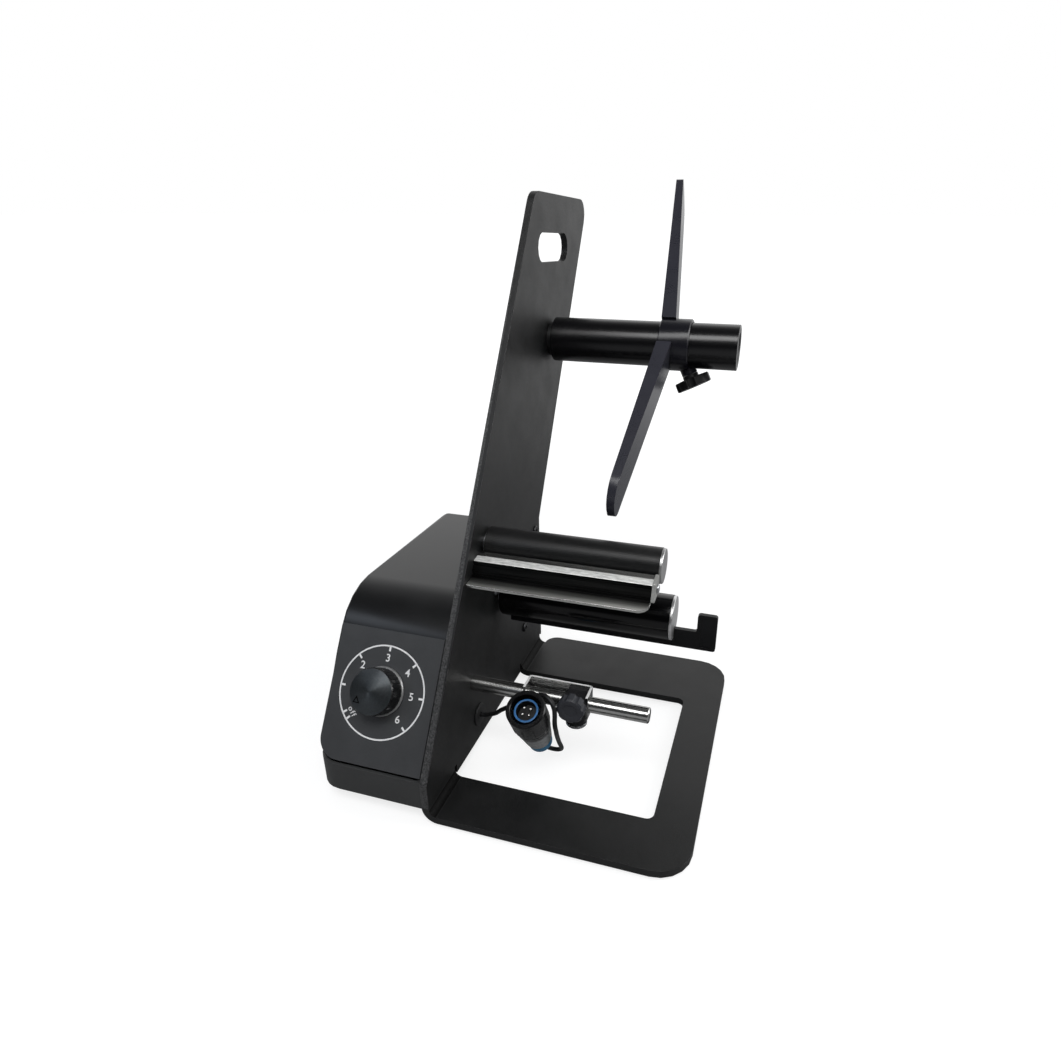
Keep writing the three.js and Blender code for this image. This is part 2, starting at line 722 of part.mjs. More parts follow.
// The thumb screw stands in a slanted boss, so a finger reaches it beside the collar
const thumb_x = 89.9;
const thumb_lean_deg = 26.8;
const thumb_angle_deg = -100.9;
const thumb_r = 2;
const thumb_boss_r = 5.3;
const thumb_boss_end = 21;
const thumb_hub_r = 5.3;
const thumb_head_low = 23.7;
const thumb_head_high = 29.9;
const thumb_head_r = 11.7;
const thumb_lobes = 6;
const thumb_flute_r = 3.6;
const thumb_cos = Math.cos(thumb_lean_deg * deg);
const thumb_sin = Math.sin(thumb_lean_deg * deg);
const thumb_axis = new THREE.Vector3(thumb_sin, thumb_cos * Math.cos(thumb_angle_deg * deg),
  thumb_cos * Math.sin(thumb_angle_deg * deg));
const thumb_origin = new THREE.Vector3(thumb_x, tube_y, tube_z);

function rollGuide() {
  let guide = turned([[0, collar_x0], [collar_r - collar_chamfer, collar_x0], [collar_r, collar_x0 + collar_chamfer],
    [collar_r, collar_x1 - collar_chamfer], [collar_r - collar_chamfer, collar_x1], [0, collar_x1]],
  new THREE.Vector3(0, tube_y, tube_z), axis_x, fine_sides);
  guide = guide.add(bladeSolid(blade_high_l, 1)).add(bladeSolid(blade_low_l, -1));
  guide = guide.add(rodAlong(thumb_boss_r, thumb_origin, thumb_axis, 0, thumb_boss_end, small_sides));
  guide = guide.subtract(rod(collar_in_r, collar_x0 - base_w, collar_x1 + base_w, tube_y, tube_z, fine_sides));
  return guide.subtract(rodAlong(thumb_r + gap_fit, thumb_origin, thumb_axis, 0, collar_r * 2, tiny_sides));
}
add('roll_guide', rollGuide(), gloss_black);

function thumbScrew() {
  const tip = (tube_r + gap_run / 3 + thumb_r * thumb_sin) / thumb_cos;
  const hub_low = thumb_boss_end + gap_run;
  let screw = turned([[0, tip], [thumb_r, tip], [thumb_r, hub_low], [thumb_hub_r, hub_low],
    [thumb_hub_r, thumb_head_low], [thumb_head_r - collar_chamfer, thumb_head_low],
    [thumb_head_r, thumb_head_low + collar_chamfer], [thumb_head_r, thumb_head_high - collar_chamfer],
    [thumb_head_r - collar_chamfer, thumb_head_high], [thumb_hub_r, thumb_head_high],
    [thumb_hub_r - collar_chamfer, thumb_head_high - collar_chamfer], [0, thumb_head_high - collar_chamfer]],
  thumb_origin, thumb_axis, thumb_lobes * 6);
  for (let k = 0; k < thumb_lobes; k += 1) {
    const d = thumb_axis.clone().cross(axis_x).normalize()
      .applyAxisAngle(thumb_axis, 2 * Math.PI * k / thumb_lobes);
    const p = thumb_origin.clone().addScaledVector(d, thumb_head_r + thumb_flute_r * 0.45);
    screw = screw.subtract(rodAlong(thumb_flute_r, p, thumb_axis, thumb_head_low - cut_over,
      thumb_head_high + cut_over, tiny_sides));
  }
  return screw;
}
add('thumb_screw', thumbScrew(), plastic_black);

// Guide roller: fixed axle, core with end disc, rubber sleeve
const guide_core_r = 7.4;
const guide_cap_l = 1.6;
const guide_axle_end = 100;
const small_nut_r = 5.2;
const small_nut_h = 4;
const small_thread_l = 10;
add('guide_axle', turned([[0, -small_thread_l], [guide_bolt_r, -small_thread_l], [guide_bolt_r, 0],
  [guide_core_r - gap_run, 0], [guide_core_r - gap_run, guide_gap - gap_run], [guide_axle_r, guide_gap - gap_run],
  [guide_axle_r, guide_axle_end], [0, guide_axle_end]],
new THREE.Vector3(0, guide_y, guide_z), axis_x), zinc);
add('guide_nut', hexNut(small_nut_r, guide_bolt_r + gap_fit, -plate_t - small_nut_h, -plate_t, guide_y, guide_z),
  zinc);
add('guide_core', turned([[guide_axle_r + gap_fit, guide_gap], [guide_core_r, guide_gap],
  [guide_core_r, guide_end_x - guide_cap_l], [guide_r - gap_run, guide_end_x - guide_cap_l],
  [guide_r - gap_run, guide_end_x - gap_run], [guide_r - gap_run * 2, guide_end_x], [0, guide_end_x],
  [0, guide_axle_end + gap_run], [guide_axle_r + gap_fit, guide_axle_end + gap_run],
  [guide_axle_r + gap_fit, guide_gap]],
new THREE.Vector3(0, guide_y, guide_z), axis_x), alloy);
add('guide_sleeve', ring(guide_core_r, guide_r, guide_gap, guide_end_x - guide_cap_l, guide_y, guide_z),
  rubber_black);

// Peel bar: square bar behind a folded stainless sheet, closed by an end plate
const sheet_t = 1.5;
const peel_start_x = 0.4;
const peel_end_t = 2;
const peel_lip_r = 6.5;
const peel_back_y = 87.2;
const peel_back_z = 130.2;
const peel_foot_y = 73.2;
const peel_foot_z = 120.1;
const peel_lip_y = 64.2;
const peel_lip_z = 119.3;
const peel_back = [peel_back_y, peel_back_z];
const peel_ridge = [peel_ridge_y, peel_ridge_z];
const peel_foot = [peel_foot_y, peel_foot_z];
const peel_lip = [peel_lip_y, peel_lip_z];

function foldedSheet(path, t) {
  const left = [];
  const right = [];
  path.forEach(([y, z], i) => {
    const here = new THREE.Vector2(y, z);
    const dirs = [];
    if (i > 0) dirs.push(here.clone().sub(new THREE.Vector2(...path[i - 1])).normalize());
    if (i < path.length - 1) dirs.push(new THREE.Vector2(...path[i + 1]).sub(here).normalize());
    const sum = dirs.reduce((acc, d) => acc.add(new THREE.Vector2(-d.y, d.x)), new THREE.Vector2());
    sum.normalize();
    const first = new THREE.Vector2(-dirs[0].y, dirs[0].x);
    left.push(here.clone());
    right.push(here.clone().addScaledVector(sum, t / sum.dot(first)));
  });
  return left.concat(right.reverse());
}

function peelPlate() {
  const sheet = prismX(foldedSheet([peel_back, peel_ridge, peel_foot, peel_lip], sheet_t), peel_start_x, peel_end_x);
  const corner_x = peel_end_x - peel_lip_r;
  const corner_y = peel_lip[0] + peel_lip_r;
  const keep = rodAlong(peel_lip_r, new THREE.Vector3(corner_x, corner_y, 0), axis_z, peel_lip[1] - peel_lip_r,
    peel_ridge_z, round_sides);
  const corner = block(corner_x, peel_end_x + cut_over, peel_lip[0] - cut_over, corner_y,
    peel_lip[1] - peel_lip_r, peel_foot[1] + sheet_t * 2).subtract(keep);
  return sheet.subtract(corner.intersect(block(corner_x, peel_end_x + cut_over, peel_lip[0] - cut_over,
    peel_foot[0] - sheet_t * 0.6, peel_lip[1] - peel_lip_r, peel_foot[1] + sheet_t * 2)));
}
add('peel_plate', peelPlate(), stainless);

const bar_front_y = 79.6;
const bar_rear_y = 87;
const bar_low_z = 120.6;
const bar_front_top_z = 127.3;
const bar_rear_top_z = 128.3;
const bar_edge_r = 0.4;
const end_front_y = 73.2;
const end_front_low_z = 119.6;
const end_front_top_y = 77.4;
const end_front_top_z = 129.6;
const end_rear_low_y = 86.8;
const end_rear_low_z = 120.2;
const end_rear_top_y = 88;
const end_rear_top_z = 130.9;
const end_edge_r = 0.8;
function peelBar() {
  let bar = prismX(roundedOutline([[bar_front_y, bar_low_z, bar_edge_r], [bar_rear_y, bar_low_z, bar_edge_r],
    [bar_rear_y, bar_rear_top_z, bar_edge_r], [bar_front_y, bar_front_top_z, bar_edge_r]]), 0, peel_end_x);
  for (const [y, z] of peel_screw_points) {
    bar = bar.subtract(rod(peel_screw_r + gap_fit, -cut_over, peel_thread_l, y, z, tiny_sides));
    bar = bar.subtract(rod(peel_screw_r + gap_fit, peel_end_x - peel_thread_l, peel_end_x + cut_over, y, z, tiny_sides));
  }
  return bar;
}
const peel_thread_l = 12;
add('peel_bar', peelBar(), alloy);

function screw(head_r, head_h, thread_r, length, origin, direction, socket = true) {
  // Pan head with a hexagon socket, thread drawn as a plain rod
  let body = turned([[0, -length], [thread_r, -length], [thread_r, 0], [head_r, 0], [head_r, head_h * 0.55],
    [head_r * 0.72, head_h], [0, head_h]], origin, direction, small_sides);
  if (socket) body = body.subtract(rodAlong(head_r * 0.42, origin, direction, head_h * 0.35, head_h + cut_over, 6));
  return body;
}
const m4_head_r = 3.6;
const m4_head_h = 2.2;
peel_screw_points.forEach(([y, z], i) => {
  add(`peel_screw_${i + 1}`, screw(m4_head_r, m4_head_h, peel_screw_r, plate_t + peel_thread_l - gap_run * 2,
    new THREE.Vector3(-plate_t, y, z), new THREE.Vector3(-1, 0, 0)), zinc);
});
const end_head_r = 2.6;
const end_head_h = 1.2;
add('peel_end_plate', prismX(roundedOutline([[end_front_y, end_front_low_z, end_edge_r],
  [end_rear_low_y, end_rear_low_z, end_edge_r], [end_rear_top_y, end_rear_top_z, end_edge_r],
  [end_front_top_y, end_front_top_z, end_edge_r]]), peel_end_x, peel_end_x + peel_end_t)
  .subtract(rod(peel_screw_r + gap_fit, peel_end_x - cut_over, peel_end_x + peel_end_t + cut_over,
    ...peel_screw_points[0], tiny_sides)), stainless);
add('peel_end_screw', screw(end_head_r, end_head_h, peel_screw_r, peel_end_t + peel_thread_l - gap_run * 4,
  new THREE.Vector3(peel_end_x + peel_end_t, ...peel_screw_points[0]), axis_x), zinc);

// Take-up roller: slotted roller on the gearmotor shaft, light end cap, sliding liner clip
const slot_half = 1.8;
const slot_top_z = 79.7;
const take_cap_l = 1.8;
const clip_half = 1.5;
const clip_x0 = 6;
const clip_bar_top_z = 79.3;
const clip_low_z = 66.8;
const hook_x0 = 128.4;
const hook_x1 = 140.4;
const hook_top_z = 91.5;
const hook_corner_r = 1.6;
const hook_border = 2;
const hook_recess = 0.5;
const hook_recess_r = 0.6;
const clip_end_r = 0.8;
const motor_shaft_r = 4;
const shaft_in_roller = 40;
const gear_case_r = 18.5;
const gear_case_l = 25;
const motor_r = 17;
const motor_rear_r = 11;
const motor_rear_l = 3;
const motor_end_gap = 4.9;
const motor_l = housing_w - hood_wall - motor_end_gap - gear_case_l - motor_rear_l;
const boss_end_x = -0.5;
const shaft_back_x = -14;
const motor_head_r = 2.6;
const motor_head_h = 1.3;
const motor_screw_depth = 6;

function slotBlock() {
  return block(-cut_over + take_gap, take_end_x + cut_over, take_y - slot_half, take_y + slot_half,
    take_z - take_r - cut_over, slot_top_z);
}
add('take_up_roller', turned([[0, take_gap], [take_r - gap_run, take_gap], [take_r, take_gap + gap_run],
  [take_r, take_end_x - take_cap_l], [0, take_end_x - take_cap_l]], new THREE.Vector3(0, take_y, take_z), axis_x,
fine_sides).subtract(slotBlock()).subtract(rod(motor_shaft_r, take_gap - cut_over,
  take_gap + shaft_in_roller + gap_run, take_y, take_z, small_sides)), gloss_black);
add('take_up_cap', turned([[0, take_end_x - take_cap_l], [take_r - gap_run, take_end_x - take_cap_l],
  [take_r - gap_run, take_end_x - gap_run], [take_r - gap_run * 2, take_end_x], [0, take_end_x]],
new THREE.Vector3(0, take_y, take_z), axis_x, fine_sides).subtract(slotBlock()), alloy);
add('take_up_shaft', rod(motor_shaft_r, shaft_back_x, take_gap + shaft_in_roller, take_y, take_z, small_sides), zinc);

function linerClip() {
  const shape = [
    [clip_x0, clip_low_z, clip_end_r], [hook_x1, clip_low_z, hook_corner_r], [hook_x1, hook_top_z, hook_corner_r],
    [hook_x0, hook_top_z, hook_corner_r], [hook_x0, clip_bar_top_z, hook_corner_r],
    [clip_x0, clip_bar_top_z, clip_end_r],
  ];
  let clip = prismY(shape, take_y - clip_half, take_y + clip_half);
  for (const side of [-1, 1]) {
    const face = take_y + side * clip_half;
    clip = clip.subtract(prismY([
      [hook_x0 + hook_border, clip_low_z + hook_border, hook_recess_r],
      [hook_x1 - hook_border, clip_low_z + hook_border, hook_recess_r],
      [hook_x1 - hook_border, hook_top_z - hook_border, hook_recess_r],
      [hook_x0 + hook_border, hook_top_z - hook_border, hook_recess_r],
    ], Math.min(face, face + side * cut_over) - (side < 0 ? 0 : hook_recess),
    Math.max(face, face + side * cut_over) + (side < 0 ? hook_recess : 0)));
  }
  return clip;
}
add('liner_clip', linerClip(), plastic_black);

// Gearmotor bolted to the back of the tower, shaft through the tower into the roller
add('gear_case', turned([[motor_shaft_r + gap_fit, shaft_back_x - gap_run], [motor_shaft_r + gap_fit, boss_end_x],
  [take_boss_r, boss_end_x], [take_boss_r, -plate_t], [gear_case_r, -plate_t],
  [gear_case_r, -plate_t - gear_case_l], [0, -plate_t - gear_case_l], [0, shaft_back_x - gap_run],
  [motor_shaft_r + gap_fit, shaft_back_x - gap_run]],
new THREE.Vector3(0, take_y, take_z), axis_x, round_sides).subtract(motorScrewHoles()), zinc);
function motorScrewPoints() {
  return motor_screw_angles_deg.map((a) => [take_y + motor_screw_circle_r * Math.cos(a * deg),
    take_z + motor_screw_circle_r * Math.sin(a * deg)]);
}
function motorScrewHoles() {
  const holes = motorScrewPoints().map(([y, z]) =>
    rod(motor_screw_r + gap_fit, -plate_t - motor_screw_depth - gap_run, -plate_t + cut_over, y, z, tiny_sides));
  return holes.reduce((a, b) => a.add(b));
}
motorScrewPoints().forEach(([y, z], i) => {
  add(`motor_screw_${i + 1}`, screw(motor_head_r, motor_head_h, motor_screw_r, plate_t + motor_screw_depth,
    new THREE.Vector3(0, y, z), axis_x), zinc);
});
add('drive_motor', turned([[0, -plate_t - gear_case_l - motor_l - motor_rear_l],
  [motor_rear_r, -plate_t - gear_case_l - motor_l - motor_rear_l], [motor_rear_r, -plate_t - gear_case_l - motor_l],
  [motor_r, -plate_t - gear_case_l - motor_l], [motor_r, -plate_t - gear_case_l], [0, -plate_t - gear_case_l]],
new THREE.Vector3(0, take_y, take_z), axis_x), alloy);

// Control board on the floor of the tray, with terminal blocks, a capacitor and a driver
const board_side_gap = 5;
const board_tower_gap = 9.5;
const board_x0 = case_left_x + tray_wall + board_side_gap;
const board_x1 = case_right_x - board_tower_gap;
const board_y0 = 34;
const board_y1 = 104;
const board_stand = 4;
const board_t = 1.6;
const board_z = tray_low_z + tray_wall + board_stand;
const stand_r = 2.6;
const stand_inset = 4.5;
const terminal_w = 9;
const terminal_l = 24;
const terminal_h = 10;
const cap_r = 5;
const cap_h = 14;
const chip_w = 12;
const chip_h = 3;
const terminal_edge = 3;
const terminal_back = 10;
const terminal_front = 12;
const chip_in = 22;
const chip_x = board_x0 + chip_in;
const chip_y = 66;
const cap_in = 16;
const cap_x = board_x1 - cap_in;
const cap_y = 90;
const solder_h = 0.1;
function controlBoard() {
  let board = block(board_x0, board_x1, board_y0, board_y1, board_z, board_z + board_t);
  for (const x of [board_x0 + stand_inset, board_x1 - stand_inset]) {
    for (const y of [board_y0 + stand_inset, board_y1 - stand_inset]) {
      board = board.add(rodAlong(stand_r, new THREE.Vector3(x, y, 0), axis_z, tray_low_z + tray_wall, board_z, 12));
    }
  }
  const top = board_z + board_t;
  const seat = top - solder_h;
  const [rear_end, left, right] = [board_y1 - terminal_back, board_x0 + terminal_edge, board_x1 - terminal_edge];
  const front_end = board_y0 + terminal_front;
  board = board.add(block(left, left + terminal_w, rear_end - terminal_l, rear_end, seat, top + terminal_h));
  board = board.add(block(right - terminal_w, right, front_end, front_end + terminal_l, seat, top + terminal_h));
  board = board.add(block(chip_x, chip_x + chip_w, chip_y, chip_y + chip_w, seat, top + chip_h));
  return board.add(rodAlong(cap_r, new THREE.Vector3(cap_x, cap_y, 0), axis_z, seat, top + cap_h, 16));
}
add('control_board', controlBoard(), board_green);

// Power inlet in the back of the hood: barrel jack with its nut outside
const jack_flange_r = 7.6;
const jack_flange_t = 1.8;
const jack_bore_r = 2.8;
const jack_pin_r = 1;
const jack_l = 14;
const jack_nut_t = 2.4;
function jack() {
  const o = new THREE.Vector3(inlet_x, housing_rear_y, inlet_z);
  const body = turned([[0, -jack_l], [inlet_r, -jack_l], [inlet_r, 0], [jack_flange_r, 0],
    [jack_flange_r, jack_flange_t], [0, jack_flange_t]], o, axis_y, small_sides);
  const bore = rodAlong(jack_bore_r, o, axis_y, -jack_l * 0.6, jack_flange_t + cut_over, tiny_sides);
  return body.subtract(bore).add(rodAlong(jack_pin_r, o, axis_y, -jack_l * 0.7, 0, 10));
}
add('power_inlet', jack(), plastic_black);
add('power_inlet_nut', turned([[inlet_r + gap_fit, -hood_wall - jack_nut_t], [jack_flange_r, -hood_wall - jack_nut_t],
  [jack_flange_r, -hood_wall], [inlet_r + gap_fit, -hood_wall], [inlet_r + gap_fit, -hood_wall - jack_nut_t]],
new THREE.Vector3(inlet_x, housing_rear_y, inlet_z), axis_y, small_sides), plastic_black);

// Screws from the inner face of the tower into the housing
[['case_screw_upper', case_screw_upper], ['case_screw_lower', case_screw_lower]].forEach(([name, [y, z]]) => {
  add(name, screw(case_screw_head_r, case_screw_head_h, case_screw_r, case_screw_l,
    new THREE.Vector3(0, y, z), axis_x), zinc);
});

// Sensor rod with its screw from behind the tower
const rod_chamfer = 0.7;
const rod_thread_l = 12;
const rod_head_r = 4.4;
const rod_head_h = 2.6;
add('sensor_rod', turned([[0, 0], [rod_r, 0], [rod_r, rod_end_x - rod_chamfer], [rod_r - rod_chamfer, rod_end_x],
  [0, rod_end_x]], new THREE.Vector3(0, rod_y, rod_z), axis_x, 24).subtract(
  rod(rod_screw_r + gap_fit, -cut_over, rod_thread_l, rod_y, rod_z, small_sides)), stainless);
add('rod_screw', screw(rod_head_r, rod_head_h, rod_screw_r, plate_t + rod_thread_l - gap_run * 2,
  new THREE.Vector3(-plate_t, rod_y, rod_z), new THREE.Vector3(-1, 0, 0)), zinc);

// Sensor carriage: bent bracket, clamp block, lobed clamp knob and sensor barrel
const bracket_x0 = 35;
const bracket_x1 = 75;
const bracket_t = 1.5;
const bracket_back_y = 73.8;
const bracket_front_y = 60.8;
const bracket_low_z = 43;
const bracket_top_z = 58.2;
const bracket_out_r = 1.9;
const bracket_in_r = bracket_out_r - bracket_t;
function bracket() {
  const u = prismZ(roundedOutline([
    [bracket_x0, bracket_front_y, 0], [bracket_x0, bracket_back_y, bracket_out_r],
    [bracket_x1, bracket_back_y, bracket_out_r],
    [bracket_x1, bracket_front_y, 0], [bracket_x1 - bracket_t, bracket_front_y, 0],
    [bracket_x1 - bracket_t, bracket_back_y - bracket_t, bracket_in_r],
    [bracket_x0 + bracket_t, bracket_back_y - bracket_t, bracket_in_r],
    [bracket_x0 + bracket_t, bracket_front_y, 0],
  ]), bracket_low_z, bracket_top_z);
  return u.subtract(rod(rod_r + gap_fit, bracket_x0 - cut_over, bracket_x1 + cut_over, rod_y, rod_z, 24));
}
add('sensor_bracket', bracket(), stainless);

const clamp_x0 = 60.4;
const clamp_x1 = 73.5;
const clamp_y0 = 58.6;
const clamp_y1 = 72.3;
const clamp_z0 = 42;
const clamp_z1 = 60.4;
const clamp_r = 2;
const clamp_edge_r = 0.4;
const clamp_knob_x = 66.9;
const clamp_knob_z = 54.2;
const clamp_knob_r = 7.1;
const clamp_knob_lobe_r = 1.7;
const clamp_knob_lobes = 8;
const clamp_knob_y0 = 57.6;
const clamp_knob_y1 = 51;
const clamp_stud_r = 2;
const clamp_stud_l = 2.2;
const clamp_stud_root = 0.2;
const clamp_knob_dish = 0.5;
const clamp_knob_edge = 0.8;
const barrel_x = 67.1;
const barrel_y = 65;
const barrel_r = 5.7;
const barrel_low_z = 35.6;
const barrel_ring_low_z = 36.2;
const barrel_ring_high_z = 38;
const barrel_ring_r = 6.4;
add('sensor_clamp', prismZ(roundedOutline([
  [clamp_x0, clamp_y0, clamp_r], [clamp_x1, clamp_y0, clamp_r], [clamp_x1, clamp_y1, clamp_edge_r],
  [clamp_x0, clamp_y1, clamp_edge_r],
]), clamp_z0, clamp_z1).subtract(rod(rod_r + gap_fit, clamp_x0 - cut_over, clamp_x1 + cut_over, rod_y, rod_z, 24))
  .subtract(rodAlong(clamp_stud_r + gap_fit, new THREE.Vector3(clamp_knob_x, 0, clamp_knob_z), axis_y,
    clamp_y0 - cut_over, clamp_y0 + clamp_stud_l + gap_run, tiny_sides)), plastic_black);

function clampKnob() {
  const o = new THREE.Vector3(clamp_knob_x, 0, clamp_knob_z);
  let knob = turned([[0, clamp_knob_y1 + clamp_knob_dish], [clamp_knob_r * 0.45, clamp_knob_y1 + clamp_knob_dish],
    [clamp_knob_r * 0.55, clamp_knob_y1], [clamp_knob_r - clamp_knob_edge, clamp_knob_y1],
    [clamp_knob_r, clamp_knob_y1 + clamp_knob_edge],
    [clamp_knob_r, clamp_knob_y0], [0, clamp_knob_y0]], o, axis_y, clamp_knob_lobes * 4);
  for (let k = 0; k < clamp_knob_lobes; k += 1) {
    const a = 2 * Math.PI * (k + 0.5) / clamp_knob_lobes;
    const reach = clamp_knob_r + clamp_knob_lobe_r * 0.45;
    const p = new THREE.Vector3(clamp_knob_x + reach * Math.cos(a), 0, clamp_knob_z + reach * Math.sin(a));
    knob = knob.subtract(rodAlong(clamp_knob_lobe_r, p, axis_y, clamp_knob_y1 - cut_over,
      clamp_knob_y0 + cut_over, tiny_sides));
  }
  return knob.add(rodAlong(clamp_stud_r, o, axis_y, clamp_knob_y0 - clamp_stud_root,
    clamp_y0 + clamp_stud_l, tiny_sides));
}
add('clamp_knob', clampKnob(), plastic_black);
add('sensor_barrel', rodAlong(barrel_r, new THREE.Vector3(barrel_x, barrel_y, 0), axis_z, barrel_low_z, clamp_z0, 24),
  plastic_black);
add('sensor_ring', turned([[barrel_r, barrel_ring_low_z], [barrel_ring_r, barrel_ring_low_z],
  [barrel_ring_r, barrel_ring_high_z], [barrel_r, barrel_ring_high_z], [barrel_r, barrel_ring_low_z]],
new THREE.Vector3(barrel_x, barrel_y, 0), axis_z, 24), zinc);

// Lead from the tower to a loose round plug: grommet, cord and plug
const grommet_flange_r = 7.5;
const grommet_flange_t = 1.5;
const cord_r = 1.4;
const grommet_bore_r = cord_r + gap_run;
add('lead_grommet', turned([[grommet_bore_r, -plate_t - grommet_flange_t], [grommet_flange_r, -plate_t - grommet_flange_t],
  [grommet_flange_r, -plate_t], [grommet_hole_r - gap_fit / 3, -plate_t], [grommet_hole_r - gap_fit / 3, 0],
  [grommet_flange_r, 0], [grommet_flange_r, grommet_flange_t * 0.6], [grommet_flange_r * 0.8, grommet_flange_t],
  [grommet_bore_r, grommet_flange_t], [grommet_bore_r, -plate_t - grommet_flange_t]],
new THREE.Vector3(0, grommet_y, grommet_z), axis_x, small_sides), rubber_black);

const plug_axis = new THREE.Vector3(0.005, 0.5, -0.866).normalize();
const plug_length = 50;
const plug_face_x = 44.2;
const plug_face_y = 40;
const plug_face_z = 59.4;
const plug_face = new THREE.Vector3(plug_face_x, plug_face_y, plug_face_z);
const coupling_r = 11.2;
const coupling_in_r = 9;
const coupling_l = 17;
const coupling_ribs = 12;
const coupling_edge = 0.6;
const coupling_lip = 0.4;
const coupling_end_chamfer = 1;
const coupling_rib_r = 0.7;
const coupling_rib_out = 0.25;
const insert_front = 2.3;
const insert_play = 0.05;
const plug_step_l = 9;
const plug_cone_l = 12;
const plug_nut_cone_l = 4;
const pin_root = 0.2;
const plug_face_back = 1.6;
const plug_front_r = 8.85;
const plug_mid_r = 9.5;
const plug_rear_r = 8.6;
const plug_cavity_r = 7.2;
const plug_cavity_l = 9;
const insert_in_r = 5.9;
const insert_floor = 8.2;
const insert_disc_r = 5.8;
const pin_r = 0.8;
const pin_front = 5;
const pin_circle_r = 2.9;
const plug_body_end = 41;
const plug_nut_r = 7.4;
const plug_nut_end_r = 5.6;

add('plug_coupling', (() => {
  let c = turned([[coupling_in_r, coupling_lip], [coupling_in_r + coupling_lip, 0], [coupling_r - coupling_edge, 0],
    [coupling_r, coupling_edge], [coupling_r, coupling_l - coupling_end_chamfer],
    [coupling_r - coupling_end_chamfer, coupling_l], [coupling_in_r, coupling_l], [coupling_in_r, coupling_lip]],
  plug_face, plug_axis, coupling_ribs * 3);
  const side = new THREE.Vector3(1, 0, 0).cross(plug_axis).normalize();
  for (let k = 0; k < coupling_ribs; k += 1) {
    const d = side.clone().applyAxisAngle(plug_axis, 2 * Math.PI * k / coupling_ribs);
    c = c.subtract(rodAlong(coupling_rib_r, plug_face.clone().addScaledVector(d, coupling_r + coupling_rib_out), plug_axis,
      coupling_l * 0.35, coupling_l + cut_over, 8));
  }
  return c;
})(), plastic_black);
add('plug_body', turned([[0, plug_face_back + plug_cavity_l], [plug_cavity_r, plug_face_back + plug_cavity_l],
  [plug_cavity_r, plug_face_back], [plug_front_r, plug_face_back], [plug_front_r, coupling_l + gap_run],
  [plug_mid_r, coupling_l + gap_run], [plug_mid_r, coupling_l + plug_step_l], [plug_rear_r, coupling_l + plug_cone_l],
  [plug_rear_r, plug_body_end], [0, plug_body_end]], plug_face, plug_axis, round_sides), grey_plastic);
add('plug_insert', turned([[insert_in_r, insert_front], [plug_cavity_r - insert_play, insert_front],
  [plug_cavity_r - insert_play, plug_face_back + plug_cavity_l], [insert_in_r, plug_face_back + plug_cavity_l],
  [insert_in_r, insert_front]], plug_face, plug_axis, round_sides), blue_plastic);
add('plug_pins', (() => {
  let pins = turned([[0, insert_floor], [insert_disc_r, insert_floor], [insert_disc_r, plug_face_back + plug_cavity_l],
    [0, plug_face_back + plug_cavity_l]], plug_face, plug_axis, small_sides);
  const side = new THREE.Vector3(1, 0, 0).cross(plug_axis).normalize();
  for (let k = 0; k < 4; k += 1) {
    const d = side.clone().applyAxisAngle(plug_axis, Math.PI / 4 + Math.PI / 2 * k);
    pins = pins.add(rodAlong(pin_r, plug_face.clone().addScaledVector(d, pin_circle_r), plug_axis, pin_front,
      insert_floor + pin_root, 8));
  }
  return pins;
})(), brass);
add('plug_nut', turned([[grommet_bore_r, plug_body_end], [plug_nut_r, plug_body_end],
  [plug_nut_r, plug_length - plug_nut_cone_l], [plug_nut_end_r, plug_length], [grommet_bore_r, plug_length],
  [grommet_bore_r, plug_body_end]], plug_face, plug_axis, small_sides), blue_plastic);

const cord_gap = gap_run;
const cord_steps = 72;
const cord_start = new THREE.Vector3(grommet_flange_t + cord_gap, grommet_y, grommet_z);
const cord_end = plug_face.clone().addScaledVector(plug_axis, plug_length + cord_gap);
const cord_points = [
  [5.2, 72.2, 22.1], [9.2, 71, 24.5], [13.1, 68.7, 27.9], [18.7, 64.9, 34.4], [24.7, 61.3, 40.6],
  [31.3, 58.6, 46.7], [37.6, 57.8, 51.8], [42.6, 57.2, 55.6], [46.6, 55.9, 58.2], [50.27, 54.14, 60.04],
  [52.24, 52.97, 60.4], [54.2, 51.81, 60.04], [55.98, 50.76, 58.99], [57.38, 49.92, 57.35],
  [58.29, 49.38, 55.29], [58.6, 49.2, 53], [58.8, 48.6, 45.5], [58.8, 50.8, 38.8], [58.2, 54.4, 32.5],
  [57.5, 58.7, 26.2], [57.1, 62.4, 20.6], [57.26, 66.1, 14.19], [56.89, 67.19, 12.3], [55.78, 68.16, 10.63],
  [54.09, 68.87, 9.39], [52, 69.25, 8.74], [49.78, 69.25, 8.74], [47.69, 68.87, 9.39],
  [45.98, 68.16, 10.63], [44.86, 67.19, 12.3], [44.46, 66.1, 14.19],
];
function cord() {
  const points = [cord_start, ...cord_points.map((p) => new THREE.Vector3(...p)), cord_end];
  const curve = new THREE.CatmullRomCurve3(points, false, 'centripetal');
  const section = [];
  for (let k = 0; k < 8; k += 1) {
    const a = Math.PI / 4 * (k + 0.5);
    section.push(new THREE.Vector2(cord_r * Math.cos(a), cord_r * Math.sin(a)));
  }
  return solid(new THREE.ExtrudeGeometry(new THREE.Shape(section), { steps: cord_steps, extrudePath: curve }));
}
add('plug_lead', cord(), rubber_black);

// Origin at the middle of the footprint, on the standing surface
const box = new THREE.Box3().setFromObject(machine);
const centre = box.getCenter(new THREE.Vector3());
machine.position.set(-centre.x, -centre.y, -box.min.z);
machine.updateMatrixWorld(true);

export default machine;
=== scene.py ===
import math
import bpy
from mathutils import Matrix, Vector


